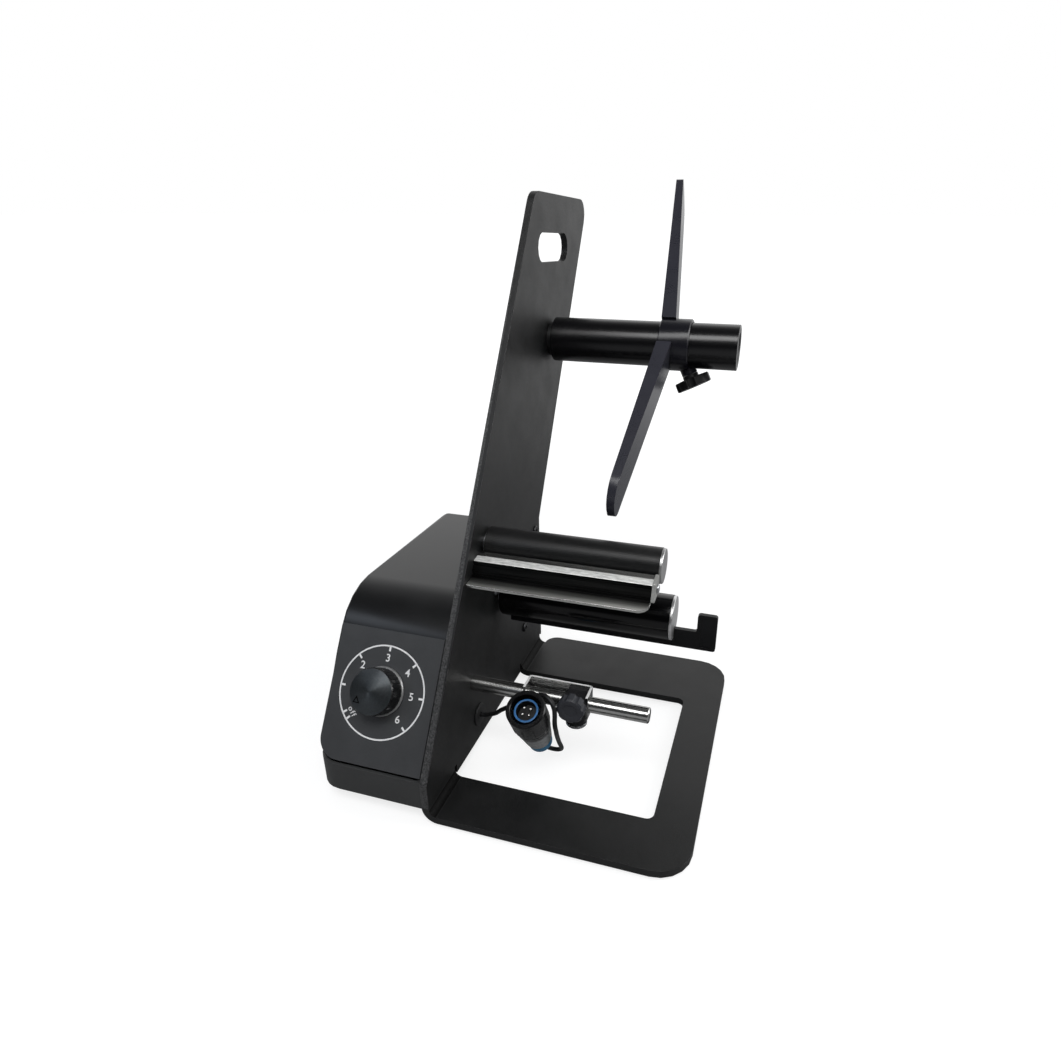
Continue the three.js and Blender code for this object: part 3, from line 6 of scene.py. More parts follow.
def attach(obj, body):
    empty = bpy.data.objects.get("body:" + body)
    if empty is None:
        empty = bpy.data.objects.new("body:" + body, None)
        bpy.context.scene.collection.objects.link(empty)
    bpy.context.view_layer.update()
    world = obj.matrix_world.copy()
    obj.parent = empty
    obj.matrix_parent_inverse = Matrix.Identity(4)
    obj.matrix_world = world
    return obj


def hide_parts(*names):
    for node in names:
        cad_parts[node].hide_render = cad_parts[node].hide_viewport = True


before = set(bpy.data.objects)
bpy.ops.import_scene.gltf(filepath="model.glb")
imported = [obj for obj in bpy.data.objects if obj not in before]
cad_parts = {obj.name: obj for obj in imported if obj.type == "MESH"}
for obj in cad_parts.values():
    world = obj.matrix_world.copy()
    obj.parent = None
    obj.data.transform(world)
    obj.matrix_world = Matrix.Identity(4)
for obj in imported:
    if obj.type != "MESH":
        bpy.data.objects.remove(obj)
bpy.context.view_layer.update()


# Camera: stands in front of the right half of the machine, level with the top of the tower, and
# looks down on the work side by about 24 degrees.
view = bpy.data.cameras.new("view")
view.lens = 24.5805
view.sensor_width = 36
view.shift_x = -0.034715
view.shift_y = 0.00784
view.clip_start = 0.01
camera = bpy.data.objects.new("view", view)
camera.location = (0.12802, -0.434016, 0.31797)
camera.rotation_euler = (math.radians(65.5167), 0, math.radians(17.0545))
bpy.context.scene.collection.objects.link(camera)
bpy.context.scene.camera = camera


# Sensor lead: round black cable of 2.8 mm, soft, with the outer skin slightly uneven. It leaves the
# rubber grommet low on the tower, climbs behind the loose connector, turns over and hangs down in
# front of the rod, and turns up again into the connector's end nut.
corner_x, corner_y, corner_z = 36.25, 163.5941, 2


def on_bench(x, y, z):
    # millimetres from the inner front corner of the frame plate to metres in the shared frame
    return Vector(((x - corner_x) / 1000, (y - corner_y) / 1000, (z + corner_z) / 1000))


def bench_place(point):
    # the way back, from metres in the shared frame to millimetres from that corner
    return point.x * 1000 + corner_x, point.y * 1000 + corner_y, point.z * 1000 - corner_z


def surface(name, dark, light, rough, grain, depth, metal=0.0, stretch=(1, 1, 1), broad=60.0,
            shine=0.5):
    # Two close tones that drift over the surface, a fine grain in the relief and in the gloss
    made = bpy.data.materials.new(name)
    made.use_nodes = True
    tree = made.node_tree
    shader = tree.nodes["Principled BSDF"]
    shader.inputs["Metallic"].default_value = metal
    shader.inputs["Specular IOR Level"].default_value = shine
    place = tree.nodes.new("ShaderNodeTexCoord")
    scale = tree.nodes.new("ShaderNodeMapping")
    scale.inputs["Scale"].default_value = stretch
    tree.links.new(place.outputs["Object"], scale.inputs["Vector"])
    drift = tree.nodes.new("ShaderNodeTexNoise")
    drift.inputs["Scale"].default_value = broad
    drift.inputs["Detail"].default_value = 4
    tree.links.new(scale.outputs["Vector"], drift.inputs["Vector"])
    fine = tree.nodes.new("ShaderNodeTexNoise")
    fine.inputs["Scale"].default_value = grain
    fine.inputs["Detail"].default_value = 3
    fine.inputs["Roughness"].default_value = 0.6
    tree.links.new(scale.outputs["Vector"], fine.inputs["Vector"])
    both = tree.nodes.new("ShaderNodeMath")
    both.operation = "MULTIPLY_ADD"
    both.inputs[1].default_value = 0.5
    tree.links.new(fine.outputs["Fac"], both.inputs[0])
    half = tree.nodes.new("ShaderNodeMath")
    half.operation = "MULTIPLY"
    half.inputs[1].default_value = 0.5
    tree.links.new(drift.outputs["Fac"], half.inputs[0])
    tree.links.new(half.outputs[0], both.inputs[2])
    tones = tree.nodes.new("ShaderNodeValToRGB")
    tones.color_ramp.elements[0].position = 0.36
    tones.color_ramp.elements[0].color = (*dark, 1)
    tones.color_ramp.elements[1].position = 0.64
    tones.color_ramp.elements[1].color = (*light, 1)
    tree.links.new(both.outputs[0], tones.inputs["Fac"])
    tree.links.new(tones.outputs["Color"], shader.inputs["Base Color"])
    gloss = tree.nodes.new("ShaderNodeMapRange")
    gloss.inputs["From Min"].default_value = 0.35
    gloss.inputs["From Max"].default_value = 0.65
    gloss.inputs["To Min"].default_value = rough[0]
    gloss.inputs["To Max"].default_value = rough[1]
    tree.links.new(both.outputs[0], gloss.inputs["Value"])
    tree.links.new(gloss.outputs["Result"], shader.inputs["Roughness"])
    relief = tree.nodes.new("ShaderNodeBump")
    relief.inputs["Strength"].default_value = 1
    relief.inputs["Distance"].default_value = depth
    tree.links.new(fine.outputs["Fac"], relief.inputs["Height"])
    tree.links.new(relief.outputs["Normal"], shader.inputs["Normal"])
    return made


def alone(piece):
    bpy.ops.object.select_all(action="DESELECT")
    piece.select_set(True)
    bpy.context.view_layer.objects.active = piece


def coat_with(piece, *finishes):
    piece.data.materials.clear()
    for finish in finishes:
        piece.data.materials.append(finish)


def settle(piece, body, node=None):
    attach(piece, body)
    if node:
        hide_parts(node)
    return piece


def bare(name):
    # A copy of the plain solid with its doubles merged
    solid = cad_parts[name]
    piece = bpy.data.objects.new(name + "_made", solid.data.copy())
    bpy.context.scene.collection.objects.link(piece)
    piece.data.transform(solid.matrix_world)
    alone(piece)
    bpy.ops.object.mode_set(mode="EDIT")
    bpy.ops.mesh.select_all(action="SELECT")
    bpy.ops.mesh.remove_doubles(threshold=2e-6)
    bpy.ops.mesh.dissolve_limited(angle_limit=math.radians(0.6))
    bpy.ops.object.mode_set(mode="OBJECT")
    return piece


def ease(piece, width=0.00025, steps=2, turn=32):
    # Hard edges slightly broken, round faces smooth
    alone(piece)
    if width:
        bpy.ops.object.mode_set(mode="EDIT")
        bpy.ops.mesh.select_all(action="SELECT")
        bpy.ops.mesh.quads_convert_to_tris(quad_method="BEAUTY", ngon_method="BEAUTY")
        bpy.ops.object.mode_set(mode="OBJECT")
        edge = piece.modifiers.new("edge", "BEVEL")
        edge.width = width
        edge.segments = steps
        edge.limit_method = "ANGLE"
        edge.angle_limit = math.radians(turn)
        edge.use_clamp_overlap = True
        edge.miter_outer = "MITER_ARC"
        bpy.ops.object.modifier_apply(modifier=edge.name)
    bpy.ops.object.shade_smooth_by_angle(angle=math.radians(turn))
    weigh = piece.modifiers.new("weigh", "WEIGHTED_NORMAL")
    weigh.keep_sharp = True
    bpy.ops.object.modifier_apply(modifier=weigh.name)
    return piece


def broken_edges(name, width=0.00025, steps=2, turn=32):
    return ease(bare(name), width, steps, turn)


def dress(node, body, finish, width=0.00025, steps=2, turn=32):
    # A piece that keeps its plain shape and wears one finish all over
    piece = broken_edges(node, width, steps, turn)
    coat_with(piece, finish)
    return settle(piece, body, node)


cable_black = surface("cable black", (0.006, 0.006, 0.0065), (0.012, 0.012, 0.013), (0.38, 0.5), 900,
                      0.00004)
rubber = surface("grommet rubber", (0.005, 0.005, 0.0055), (0.011, 0.011, 0.012), (0.5, 0.62), 1300,
                 0.00004)

route = [
    (1.8, 72.4, 21.5), (5.2, 72.2, 22.1), (9.2, 71, 24.5), (13.1, 68.7, 27.9), (18.7, 64.9, 34.4),
    (24.7, 61.3, 40.6), (31.3, 58.6, 46.7), (37.6, 57.8, 51.8), (42.6, 57.2, 55.6), (46.6, 55.9, 58.2),
    (50.27, 54.14, 60.04), (52.24, 52.97, 60.4), (54.2, 51.81, 60.04), (55.98, 50.76, 58.99),
    (57.38, 49.92, 57.35), (58.29, 49.38, 55.29), (58.6, 49.2, 53), (58.8, 48.6, 45.5), (58.8, 50.8, 38.8),
    (58.2, 54.4, 32.5), (57.5, 58.7, 26.2), (57.1, 62.4, 20.6), (57.26, 66.1, 14.19), (56.89, 67.19, 12.3),
    (55.78, 68.16, 10.63), (54.09, 68.87, 9.39), (52, 69.25, 8.74), (49.78, 69.25, 8.74),
    (47.69, 68.87, 9.39), (45.98, 68.16, 10.63), (44.86, 67.19, 12.3), (44.46, 66.1, 14.19),
    (44.4515, 65.149, 15.842),
]
lead_line = bpy.data.curves.new("sensor_lead", "CURVE")
lead_line.dimensions = "3D"
lead_line.bevel_depth = 0.0014
lead_line.bevel_resolution = 5
lead_line.resolution_u = 6
lead_line.use_fill_caps = True
run = lead_line.splines.new("BEZIER")
run.bezier_points.add(len(route) - 1)
for knot, spot in zip(run.bezier_points, route):
    knot.co = on_bench(*spot)
    knot.handle_left_type = knot.handle_right_type = "AUTO"
lead = bpy.data.objects.new("sensor_lead", lead_line)
bpy.context.scene.collection.objects.link(lead)
coat_with(lead, cable_black)
settle(lead, "base", "plug_lead")

dress("lead_grommet", "base", rubber, 0.00035, 3)


# Loose round connector on the end of the lead: black ribbed coupling ring that turns, light blue
# insert with four bright round-ended pins, grooved black collar, grey body that narrows in steps,
# and a blue end nut.
plug_face = on_bench(44.2, 40, 59.4)
plug_axis = Vector((0.005, 0.5, -0.866)).normalized()
coupling_black = surface("coupling black", (0.002, 0.002, 0.0024), (0.005, 0.005, 0.0058), (0.22, 0.3),
                         1500, 0.00002, shine=0.35)
collar_black = surface("collar black", (0.006, 0.006, 0.0066), (0.012, 0.012, 0.013), (0.2, 0.26), 1500,
                       0.000004, shine=0.9)
insert_blue = surface("insert blue", (0.012, 0.09, 0.24), (0.022, 0.14, 0.36), (0.3, 0.4), 900, 0.00002)
nut_blue = surface("nut blue", (0.008, 0.14, 0.28), (0.016, 0.2, 0.4), (0.3, 0.4), 900, 0.00002)
plug_grey = surface("plug grey", (0.22, 0.228, 0.23), (0.29, 0.3, 0.304), (0.2, 0.28), 1200, 0.000004,
                    shine=1.0)
pin_gilt = surface("bright pins", (0.85, 0.84, 0.8), (0.95, 0.94, 0.92), (0.1, 0.16), 1500, 0.000004,
                   metal=1.0)

coupling = bare("plug_coupling")
ribs_from, ribs_swell = 0.0098, 1.03
for point in coupling.data.vertices:
    # the ribbed outside stands out a little further, the bore keeps its size
    middle = plug_face + plug_axis * (point.co - plug_face).dot(plug_axis)
    if (point.co - middle).length > ribs_from:
        point.co = middle + (point.co - middle) * ribs_swell
ease(coupling, 0.0003, 3)
coat_with(coupling, coupling_black)
settle(coupling, "coupling_ring", "plug_coupling")


def turned(name, middle, along, profile, sides=64):
    # Turned piece drawn face by face along its axis, from (distance, radius) pairs in millimetres
    first, radius = profile[0]
    bpy.ops.mesh.primitive_circle_add(vertices=sides, radius=radius / 1000, fill_type="NGON",
                                      location=(0, 0, first / 1000))
    piece = bpy.context.object
    piece.name = name
    alone(piece)
    bpy.ops.object.transform_apply(location=True, rotation=True, scale=True)
    bpy.ops.object.mode_set(mode="EDIT")
    bpy.ops.mesh.select_all(action="SELECT")
    for (low, thin), (high, wide) in zip(profile, profile[1:]):
        bpy.ops.mesh.extrude_region_move(TRANSFORM_OT_translate={"value": (0, 0, (high - low) / 1000)})
        bpy.ops.transform.resize(value=(wide / thin, wide / thin, 1))
    bpy.ops.mesh.select_all(action="SELECT")
    bpy.ops.mesh.normals_make_consistent(inside=False)
    bpy.ops.object.mode_set(mode="OBJECT")
    piece.data.transform(Matrix.Translation(middle) @ along.to_track_quat("Z", "Y").to_matrix().to_4x4())
    return piece


collar = turned("plug_collar", plug_face, plug_axis, (
    (17.3, 10.9), (18.4, 10.9), (18.6, 9.9), (19.3, 9.9), (19.5, 10.8), (21, 10.7), (21.2, 9.7), (21.9, 9.7),
    (22.1, 10.5), (24.6, 10.3), (25.2, 9.6), (25.6, 9.5)))
ease(collar, 0.0002, 3)
coat_with(collar, collar_black)
settle(collar, "base")
plug_body = turned("plug_body_made", plug_face, plug_axis, (
    (10.4, 7.1), (25.6, 9.2), (25.7, 9.9), (27.5, 9.8), (27.6, 9.3), (28.2, 9.3), (28.3, 9.7), (34.2, 9.1),
    (34.3, 8.7), (34.9, 8.7), (35, 9), (40.3, 8.3), (40.8, 7.6)))
ease(plug_body, 0.00015, 2)
coat_with(plug_body, plug_grey)
settle(plug_body, "base", "plug_body")
insert = broken_edges("plug_insert", 0.0002, 2)
cavity_painted_shade = surface("insert cavity painted shade", (0.002, 0.002, 0.0025), (0.004, 0.004, 0.005), (0.5, 0.6), 900,
                     0.00002)
coat_with(insert, insert_blue, cavity_painted_shade)
rim_depth = 0.0029
for face in insert.data.polygons:
    # inside, behind its light rim, the insert is painted near black, a painted shade in its cavity
    if (face.center - plug_face).dot(plug_axis) > rim_depth:
        face.material_index = 1
settle(insert, "base", "plug_insert")
# the pin bed wears the same painted shade
bed = turned("plug_pin_bed", plug_face, plug_axis, ((8.3, 5.8), (10.3, 5.8)), 48)
coat_with(bed, cavity_painted_shade)
settle(bed, "base")
side = Vector((1, 0, 0)).cross(plug_axis).normalized()
pin_circle = 0.0027
for number in range(4):
    out = Matrix.Rotation(math.radians(45 + 90 * number), 3, plug_axis) @ side
    pin = turned("plug_pin_%d" % (number + 1), plug_face + out * pin_circle, plug_axis, (
        (3, 0.2), (3.05, 0.45), (3.2, 0.68), (3.45, 0.82), (3.8, 0.9), (8.2, 0.9)), 20)
    ease(pin, 0, 1, 60)
    coat_with(pin, pin_gilt)
    settle(pin, "base")
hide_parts("plug_pins")
end_nut = turned("plug_nut_made", plug_face, plug_axis, (
    (41, 7.3), (41.3, 7.7), (42.6, 7.7), (42.8, 7.5), (43.2, 7.5), (43.4, 7.7), (47.6, 7.5), (48.6, 6.7)), 24)
ease(end_nut, 0.0002, 2)
coat_with(end_nut, nut_blue)
settle(end_nut, "base", "plug_nut")


# Frame plate: one 4.5 mm steel sheet, cut, bent once along the foot of the tower and powder coated
# in a fine matt texture. The cut edges stay slightly rounded under the powder.
powder = surface("powder coat", (0.0034, 0.0036, 0.0037), (0.0064, 0.0066, 0.0069), (0.42, 0.54), 1500,
                 0.00006, shine=0.53)
bend_painted_shade = surface("painted shade in the bend", (0.001, 0.001, 0.001), (0.002, 0.002, 0.002), (0.5, 0.6),
                      1500, 0.00006, shine=0.12)
coarse_powder = surface("powder on cut edges", (0.006, 0.006, 0.0065), (0.08, 0.08, 0.081), (0.3, 0.55),
                        1300, 0.0003, broad=900)
plate = broken_edges("frame_plate", 0.0005, 3, 34)
coat_with(plate, powder, coarse_powder, bend_painted_shade)
# millimetres in the shared frame
edge_right, edge_foot, edge_head = -36, 14, 215
bend_right, bend_top = -25, 20
for face in plate.data.polygons:
    # the tower's cut front edge holds the powder coarser; the inside of the bend is painted darker and
    # duller, a painted shade in the crease
    spot = face.center * 1000
    to_front = face.normal.y < -0.6 and abs(face.normal.x) < 0.8
    in_bend = 0.15 < face.normal.x < 0.985 and face.normal.z > 0.16
    if to_front and edge_foot < spot.z < edge_head and spot.x < edge_right:
        face.material_index = 1
    elif in_bend and spot.z < bend_top and spot.x < bend_right:
        face.material_index = 2
settle(plate, "base", "frame_plate")


# Hood of the drive housing: folded from 1.6 mm sheet with a sloping front, one wide bend and a flat
# top, open towards the tower, with six cut vents in the free side. Smoother black paint than the plate's.
hood_paint = surface("hood paint", (0.005, 0.0052, 0.0058), (0.008, 0.0083, 0.0092), (0.28, 0.32), 1500,
                     0.000006)
hood = bare("housing_hood")
lean = math.radians(33.35)
slope_up = Vector((0, math.sin(lean), math.cos(lean)))
slope_out = Vector((0, -math.cos(lean), math.sin(lean)))
# millimetres from the plate's corner: foot of the slope, top, wide bend, free side and rear
foot_y, foot_z = 1.7, 25.8
top_z, wide_bend = 108.5, 40
free_side, rear_y = -73, 181
bend_z = top_z - wide_bend
bend_y = foot_y + (wide_bend + (bend_z - foot_z) * math.sin(lean)) / math.cos(lean)
# the solid's fold, how much tighter it really is, and the stretch of height over which it tightens
fold, tighter, tight_from, tight_run = 5, 3.4, 30, 16
for point in hood.data.vertices:
    # how far in from the hood's side outline lies this point?
    x, y, z = bench_place(point.co)
    up = (y - bend_y) * math.sin(lean) + (z - bend_z) * math.cos(lean)
    if y < bend_y and up > 0:
        reach = math.hypot(y - bend_y, z - bend_z)
        inset, out = wide_bend - reach, ((y - bend_y) / reach, (z - bend_z) / reach)
    elif up <= 0 and y < bend_y:
        inset = (y - foot_y) * math.cos(lean) - (z - foot_z) * math.sin(lean)
        out = (-math.cos(lean), math.sin(lean))
    elif y < rear_y:
        inset, out = top_z - z, (0, 1)
    else:
        continue
    deep = x - free_side
    arc = math.hypot(fold - deep, fold - inset)
    if deep < 5.01 and inset < 5.01 and abs(arc - fold) < 0.3:
        turn = math.atan2(fold - deep, fold - inset)
        tight = fold - tighter * min(1, max(0, (z - tight_from) / tight_run))
        new_inset, new_deep = tight - tight * math.cos(turn), tight - tight * math.sin(turn)
        point.co.x += (new_deep - deep) / 1000
        point.co.y += out[0] * (inset - new_inset) / 1000
        point.co.z += out[1] * (inset - new_inset) / 1000
ease(hood, 0.0002, 2, 34)
coat_with(hood, hood_paint)
settle(hood, "base", "housing_hood")


# Tray of the housing: pan with rounded free corners, painted a tone lighter than the hood, whose
# lower rim stands on it. The control board and the motor are closed in between the two.
tray_paint = surface("tray paint", (0.027, 0.0277, 0.028), (0.037, 0.0377, 0.038), (0.36, 0.46), 1500,
                     0.00004)
tray = bare("housing_tray")
rim_from, rim_lift = 0.0274, 0.0007
for point in tray.data.vertices:
    # the rim stands close under the hood
    if point.co.z > rim_from:
        point.co.z += rim_lift
ease(tray, 0.0003, 3, 34)
coat_with(tray, tray_paint)
settle(tray, "base", "housing_tray")


# Front overlay: thin printed film with a satin face, glued on the slope. A white ring with ticks,
# the numbers of the speed steps and the word off are screen printed on it.
film = surface("overlay film", (0.04, 0.0415, 0.044), (0.05, 0.0515, 0.0545), (0.4, 0.46), 2200, 0.00001)
ink = surface("white ink", (0.72, 0.72, 0.72), (0.82, 0.82, 0.82), (0.45, 0.55), 2500, 0.000005)
# millimetres: the dial's middle across the hood and up the slope
dial_x, dial_up = -38.4, 44.3


def on_slope(across, along, out):
    # From the dial's middle, in millimetres across, up the slope and away from it
    foot = on_bench(dial_x, foot_y, foot_z)
    return (foot + Vector((across, 0, 0)) / 1000 + slope_up * ((along + dial_up) / 1000)
            + slope_out * (out / 1000))


slope_turn = Matrix((Vector((1, 0, 0)), slope_up, slope_out)).transposed().to_4x4()


def print_on_slope(piece, name, out=0.42):
    piece.name = name
    alone(piece)
    if piece.type != "MESH":
        bpy.ops.object.convert(target="MESH")
        piece = bpy.context.object
        bpy.ops.object.mode_set(mode="EDIT")
        bpy.ops.mesh.select_all(action="SELECT")
        bpy.ops.mesh.remove_doubles(threshold=5e-7)
        bpy.ops.mesh.normals_make_consistent(inside=False)
        bpy.ops.object.mode_set(mode="OBJECT")
    bpy.ops.object.transform_apply(location=True, rotation=True, scale=True)
    piece.data.transform(Matrix.Translation(on_slope(0, 0, out)) @ slope_turn)
    coat_with(piece, ink)
    return settle(piece, "base")


film_wide, film_long, film_corner, film_thick = 0.0661, 0.0776, 0.0124, 0.00034
print_thick = 0.00003
bpy.ops.mesh.primitive_plane_add(size=1)
overlay = bpy.context.object
overlay.scale = (film_wide, film_long, 1)
overlay.location = (-0.00005, 0.0409 - 0.0443, 0)
overlay.name = "front_overlay_film"
alone(overlay)
bpy.ops.object.transform_apply(location=True, rotation=True, scale=True)
bpy.ops.object.mode_set(mode="EDIT")
bpy.ops.mesh.select_all(action="DESELECT")
bpy.ops.object.mode_set(mode="OBJECT")
corner = min(overlay.data.vertices, key=lambda v: v.co.x + v.co.y)
corner.select = True
bpy.ops.object.mode_set(mode="EDIT")
bpy.ops.mesh.select_mode(type="VERT")
bpy.ops.mesh.bevel(offset=film_corner, segments=14, affect="VERTICES")
bpy.ops.mesh.select_all(action="SELECT")
bpy.ops.mesh.extrude_region_move(TRANSFORM_OT_translate={"value": (0, 0, film_thick)})
bpy.ops.mesh.select_all(action="SELECT")
bpy.ops.mesh.normals_make_consistent(inside=False)
bpy.ops.object.mode_set(mode="OBJECT")
overlay.data.transform(Matrix.Translation(on_slope(0, 0, 0.06)) @ slope_turn)
coat_with(overlay, film)
settle(overlay, "base", "front_overlay")

ring_reach, ring_line = 0.0271, 0.0009
bpy.ops.mesh.primitive_circle_add(vertices=160, radius=ring_reach, fill_type="NGON")
ring = bpy.context.object
alone(ring)
bpy.ops.object.mode_set(mode="EDIT")
bpy.ops.mesh.select_all(action="SELECT")
bpy.ops.mesh.inset(thickness=ring_line)
bpy.ops.mesh.delete(type="FACE")
bpy.ops.mesh.select_all(action="SELECT")
bpy.ops.mesh.extrude_region_move(TRANSFORM_OT_translate={"value": (0, 0, print_thick)})
bpy.ops.object.mode_set(mode="OBJECT")
print_on_slope(ring, "dial_ring_print")

tick_reach, tick_long, tick_wide = 0.0251, 0.0029, 0.0012
for number, angle in enumerate((-135.5, -145, 179.3, 134.2, 89.2, 45.7, 0.9, -45.2)):
    bpy.ops.mesh.primitive_plane_add(size=1, location=(tick_reach, 0, 0))
    tick = bpy.context.object
    tick.scale = (tick_long, tick_wide, 1)
    alone(tick)
    bpy.ops.object.transform_apply(location=True, rotation=True, scale=True)
    bpy.ops.object.mode_set(mode="EDIT")
    bpy.ops.mesh.select_all(action="SELECT")
    bpy.ops.mesh.bevel(offset=0.0001, segments=2, affect="VERTICES")
    bpy.ops.mesh.extrude_region_move(TRANSFORM_OT_translate={"value": (0, 0, print_thick)})
    bpy.ops.object.mode_set(mode="OBJECT")
    tick.data.transform(Matrix.Rotation(math.radians(angle), 4, "Z"))
    print_on_slope(tick, "dial_tick_print_%d" % (number + 1))


def lettering(word, size, across, along, turn, name):
    line = bpy.data.curves.new(name, "FONT")
    line.body = word
    line.size = size
    line.extrude = 0.000015
    line.offset = size * 0.012
    line.space_character = 1.25 if len(word) > 1 else 1
    line.align_x = "CENTER"
    line.align_y = "CENTER"
    sign = bpy.data.objects.new(name, line)
    bpy.context.scene.collection.objects.link(sign)
    sign.location = (across / 1000, along / 1000, 0)
    sign.rotation_euler = (0, 0, math.radians(turn))
    return print_on_slope(sign, name)


figure_size, word_size = 0.0062, 0.0046
for word, across, along in (("1", -19.4, 0.2), ("2", -15.0, 13.2), ("3", 0.1, 19.6),
                            ("4", 14.0, 13.2), ("5", 18.9, 0.4), ("6", 13.1, -13.3)):
    lettering(word, figure_size, across, along, 0, "dial_number_print_" + word)
lettering("off", word_size, -16.2, -13.7, -51, "dial_off_print")


# Speed dial: black anodised aluminium knob with fine grip ribs and a spun, slightly domed face, an
# outline triangle as its pointer, and a thin bright foot ring. It turns on the rotary control.
def spun(name, dark, light, rough, middle, turn, pitch, depth, metal):
    # Turned face: fine concentric tool marks about the given axis
    made = surface(name, dark, light, rough, 900, 0.0, metal=metal)
    tree = made.node_tree
    place = next(n for n in tree.nodes if n.type == "TEX_COORD")
    centre = tree.nodes.new("ShaderNodeMapping")
    centre.vector_type = "TEXTURE"
    centre.inputs["Location"].default_value = middle
    centre.inputs["Rotation"].default_value = turn
    tree.links.new(place.outputs["Object"], centre.inputs["Vector"])
    marks = tree.nodes.new("ShaderNodeTexWave")
    marks.wave_type = "RINGS"
    marks.rings_direction = "Z"
    marks.wave_profile = "SIN"
    marks.inputs["Scale"].default_value = pitch
    marks.inputs["Distortion"].default_value = 0.6
    marks.inputs["Detail"].default_value = 2
    marks.inputs["Detail Scale"].default_value = 0.3
    tree.links.new(centre.outputs["Vector"], marks.inputs["Vector"])
    relief = next(n for n in tree.nodes if n.type == "BUMP")
    relief.inputs["Distance"].default_value = depth
    tree.links.new(marks.outputs["Fac"], relief.inputs["Height"])
    return made


knob_up, knob_high, face_from = 0.6, 14.02, 0.0128
dial_middle = on_slope(0, knob_up, 0)
knob_face = spun("spun knob face", (0.1, 0.11, 0.116), (0.135, 0.147, 0.155), (0.34, 0.4),
                 dial_middle, slope_turn.to_euler(), 900, 0.00003, 1.0)
knob_side = surface("knob side", (0.002, 0.0022, 0.0024), (0.004, 0.0042, 0.0046), (0.2, 0.26), 1500,
                    0.00001)
knob = broken_edges("dial_knob", 0.00012, 2, 30)
coat_with(knob, knob_side, knob_face)
for face in knob.data.polygons:
    if face.normal.dot(slope_out) > 0.85 and (face.center - dial_middle).dot(slope_out) > face_from:
        face.material_index = 1
settle(knob, "dial", "dial_knob")

pointer_reach, pointer_line, pointer_thick = 0.0027, 0.0006, 0.00004
bpy.ops.mesh.primitive_circle_add(vertices=3, radius=pointer_reach, fill_type="NGON")
pointer = bpy.context.object
alone(pointer)
bpy.ops.object.mode_set(mode="EDIT")
bpy.ops.mesh.select_all(action="SELECT")
bpy.ops.mesh.inset(thickness=pointer_line)
bpy.ops.mesh.delete(type="FACE")
bpy.ops.mesh.select_all(action="SELECT")
bpy.ops.mesh.subdivide(number_cuts=5)
bpy.ops.mesh.extrude_region_move(TRANSFORM_OT_translate={"value": (0, 0, pointer_thick)})
bpy.ops.object.mode_set(mode="OBJECT")
pointer.name = "dial_pointer_print"
pointer_at = Vector((-0.0074, -0.0059, 0))
dome_from, dome_run, dome_fall, dome_lift = 0.00426, 0.00425, 0.000525, 0.0005
shoulder_from, shoulder_run, shoulder_fall = 0.0085, 0.0044, 0.00075
for point in pointer.data.vertices:
    # lies on the dome of the face
    point.co += pointer_at
    point.co.z -= shoulder_fall * max(0, (point.co.xy.length - shoulder_from) / shoulder_run)
    point.co.z -= dome_fall * min(1, max(0, (point.co.xy.length - dome_from) / dome_run)) - dome_lift
pointer.data.transform(Matrix.Translation(on_slope(0, knob_up, knob_high)) @ slope_turn)
dark_ink = surface("dark ink", (0.001, 0.001, 0.001), (0.002, 0.002, 0.002), (0.5, 0.6), 2500, 0.000005,
                   shine=0.1)
coat_with(pointer, dark_ink)
settle(pointer, "dial")

bright = surface("bright turned alloy", (0.55, 0.56, 0.57), (0.7, 0.71, 0.72), (0.2, 0.3), 1200,
                 0.000005, metal=1.0)
zinc = surface("zinc plated steel", (0.4, 0.41, 0.43), (0.56, 0.57, 0.58), (0.28, 0.42), 800, 0.00001,
               metal=1.0)
ring_alloy = surface("foot ring alloy", (0.3, 0.3, 0.3), (0.42, 0.42, 0.42), (0.3, 0.4), 1200, 0.000003,
                     metal=0.7)
dress("dial_foot_ring", "dial", ring_alloy, 0.0001)
dress("speed_control", "base", zinc, 0.0002)
dress("speed_control_shaft", "dial", bright, 0.0002)


# Supply tube: smooth black tube that runs on two plastic bushes on a fixed stub axle, closed at its
# free end by a pressed plug. The hub is held by a nut behind the tower.
tube_black = surface("tube black", (0.0015, 0.0015, 0.002), (0.003, 0.003, 0.0038), (0.24, 0.27), 1300,
                     0.0000005, stretch=(0.12, 1, 1), shine=0.6)
black_plastic_and_hub_shade = surface("black plastic and painted hub shade", (0.004, 0.004, 0.0045), (0.009, 0.009, 0.01), (0.38, 0.48), 1200,
                     0.00003)
dress("supply_tube", "supply_tube", tube_black, 0.0002, 3)
for node, body, slot, finish in (
        ("tube_end_plug", "supply_tube", "plastic_black", black_plastic_and_hub_shade),
        ("tube_bush_inner", "supply_tube", "plastic_black", black_plastic_and_hub_shade),
        ("tube_bush_outer", "supply_tube", "plastic_black", black_plastic_and_hub_shade),
        # the zinc hub's flange wears this black as painted shade where the tube meets the tower
        ("tube_hub", "base", "zinc", black_plastic_and_hub_shade), ("tube_retainer", "base", "zinc", zinc),
        ("hub_nut", "base", "zinc", zinc)):
    dress(node, body, finish)


# Roll guide: collar with two long tapered blades that keep the label roll against the tower,
# enamelled in a smooth blue black. A lobed thumb screw in a slanted boss holds it on the tube.
enamel = surface("enamel", (0.027, 0.027, 0.036), (0.033, 0.033, 0.043), (0.27, 0.29), 1400, 0.0000004)
collar_painted_shade = surface("enamel with painted collar shade", (0.006, 0.006, 0.0095), (0.008, 0.008, 0.012), (0.25, 0.27),
                        1400, 0.0000004)
guide = broken_edges("roll_guide", 0.00045, 3, 34)
# millimetres: the tube's axis, the collar's reach, the blades' far edge at the root and its taper
tube_y, tube_z, collar_reach = 227.1, 232.7, 20.5
far_edge, edge_taper, edge_band = 87.6, 17, 2.2
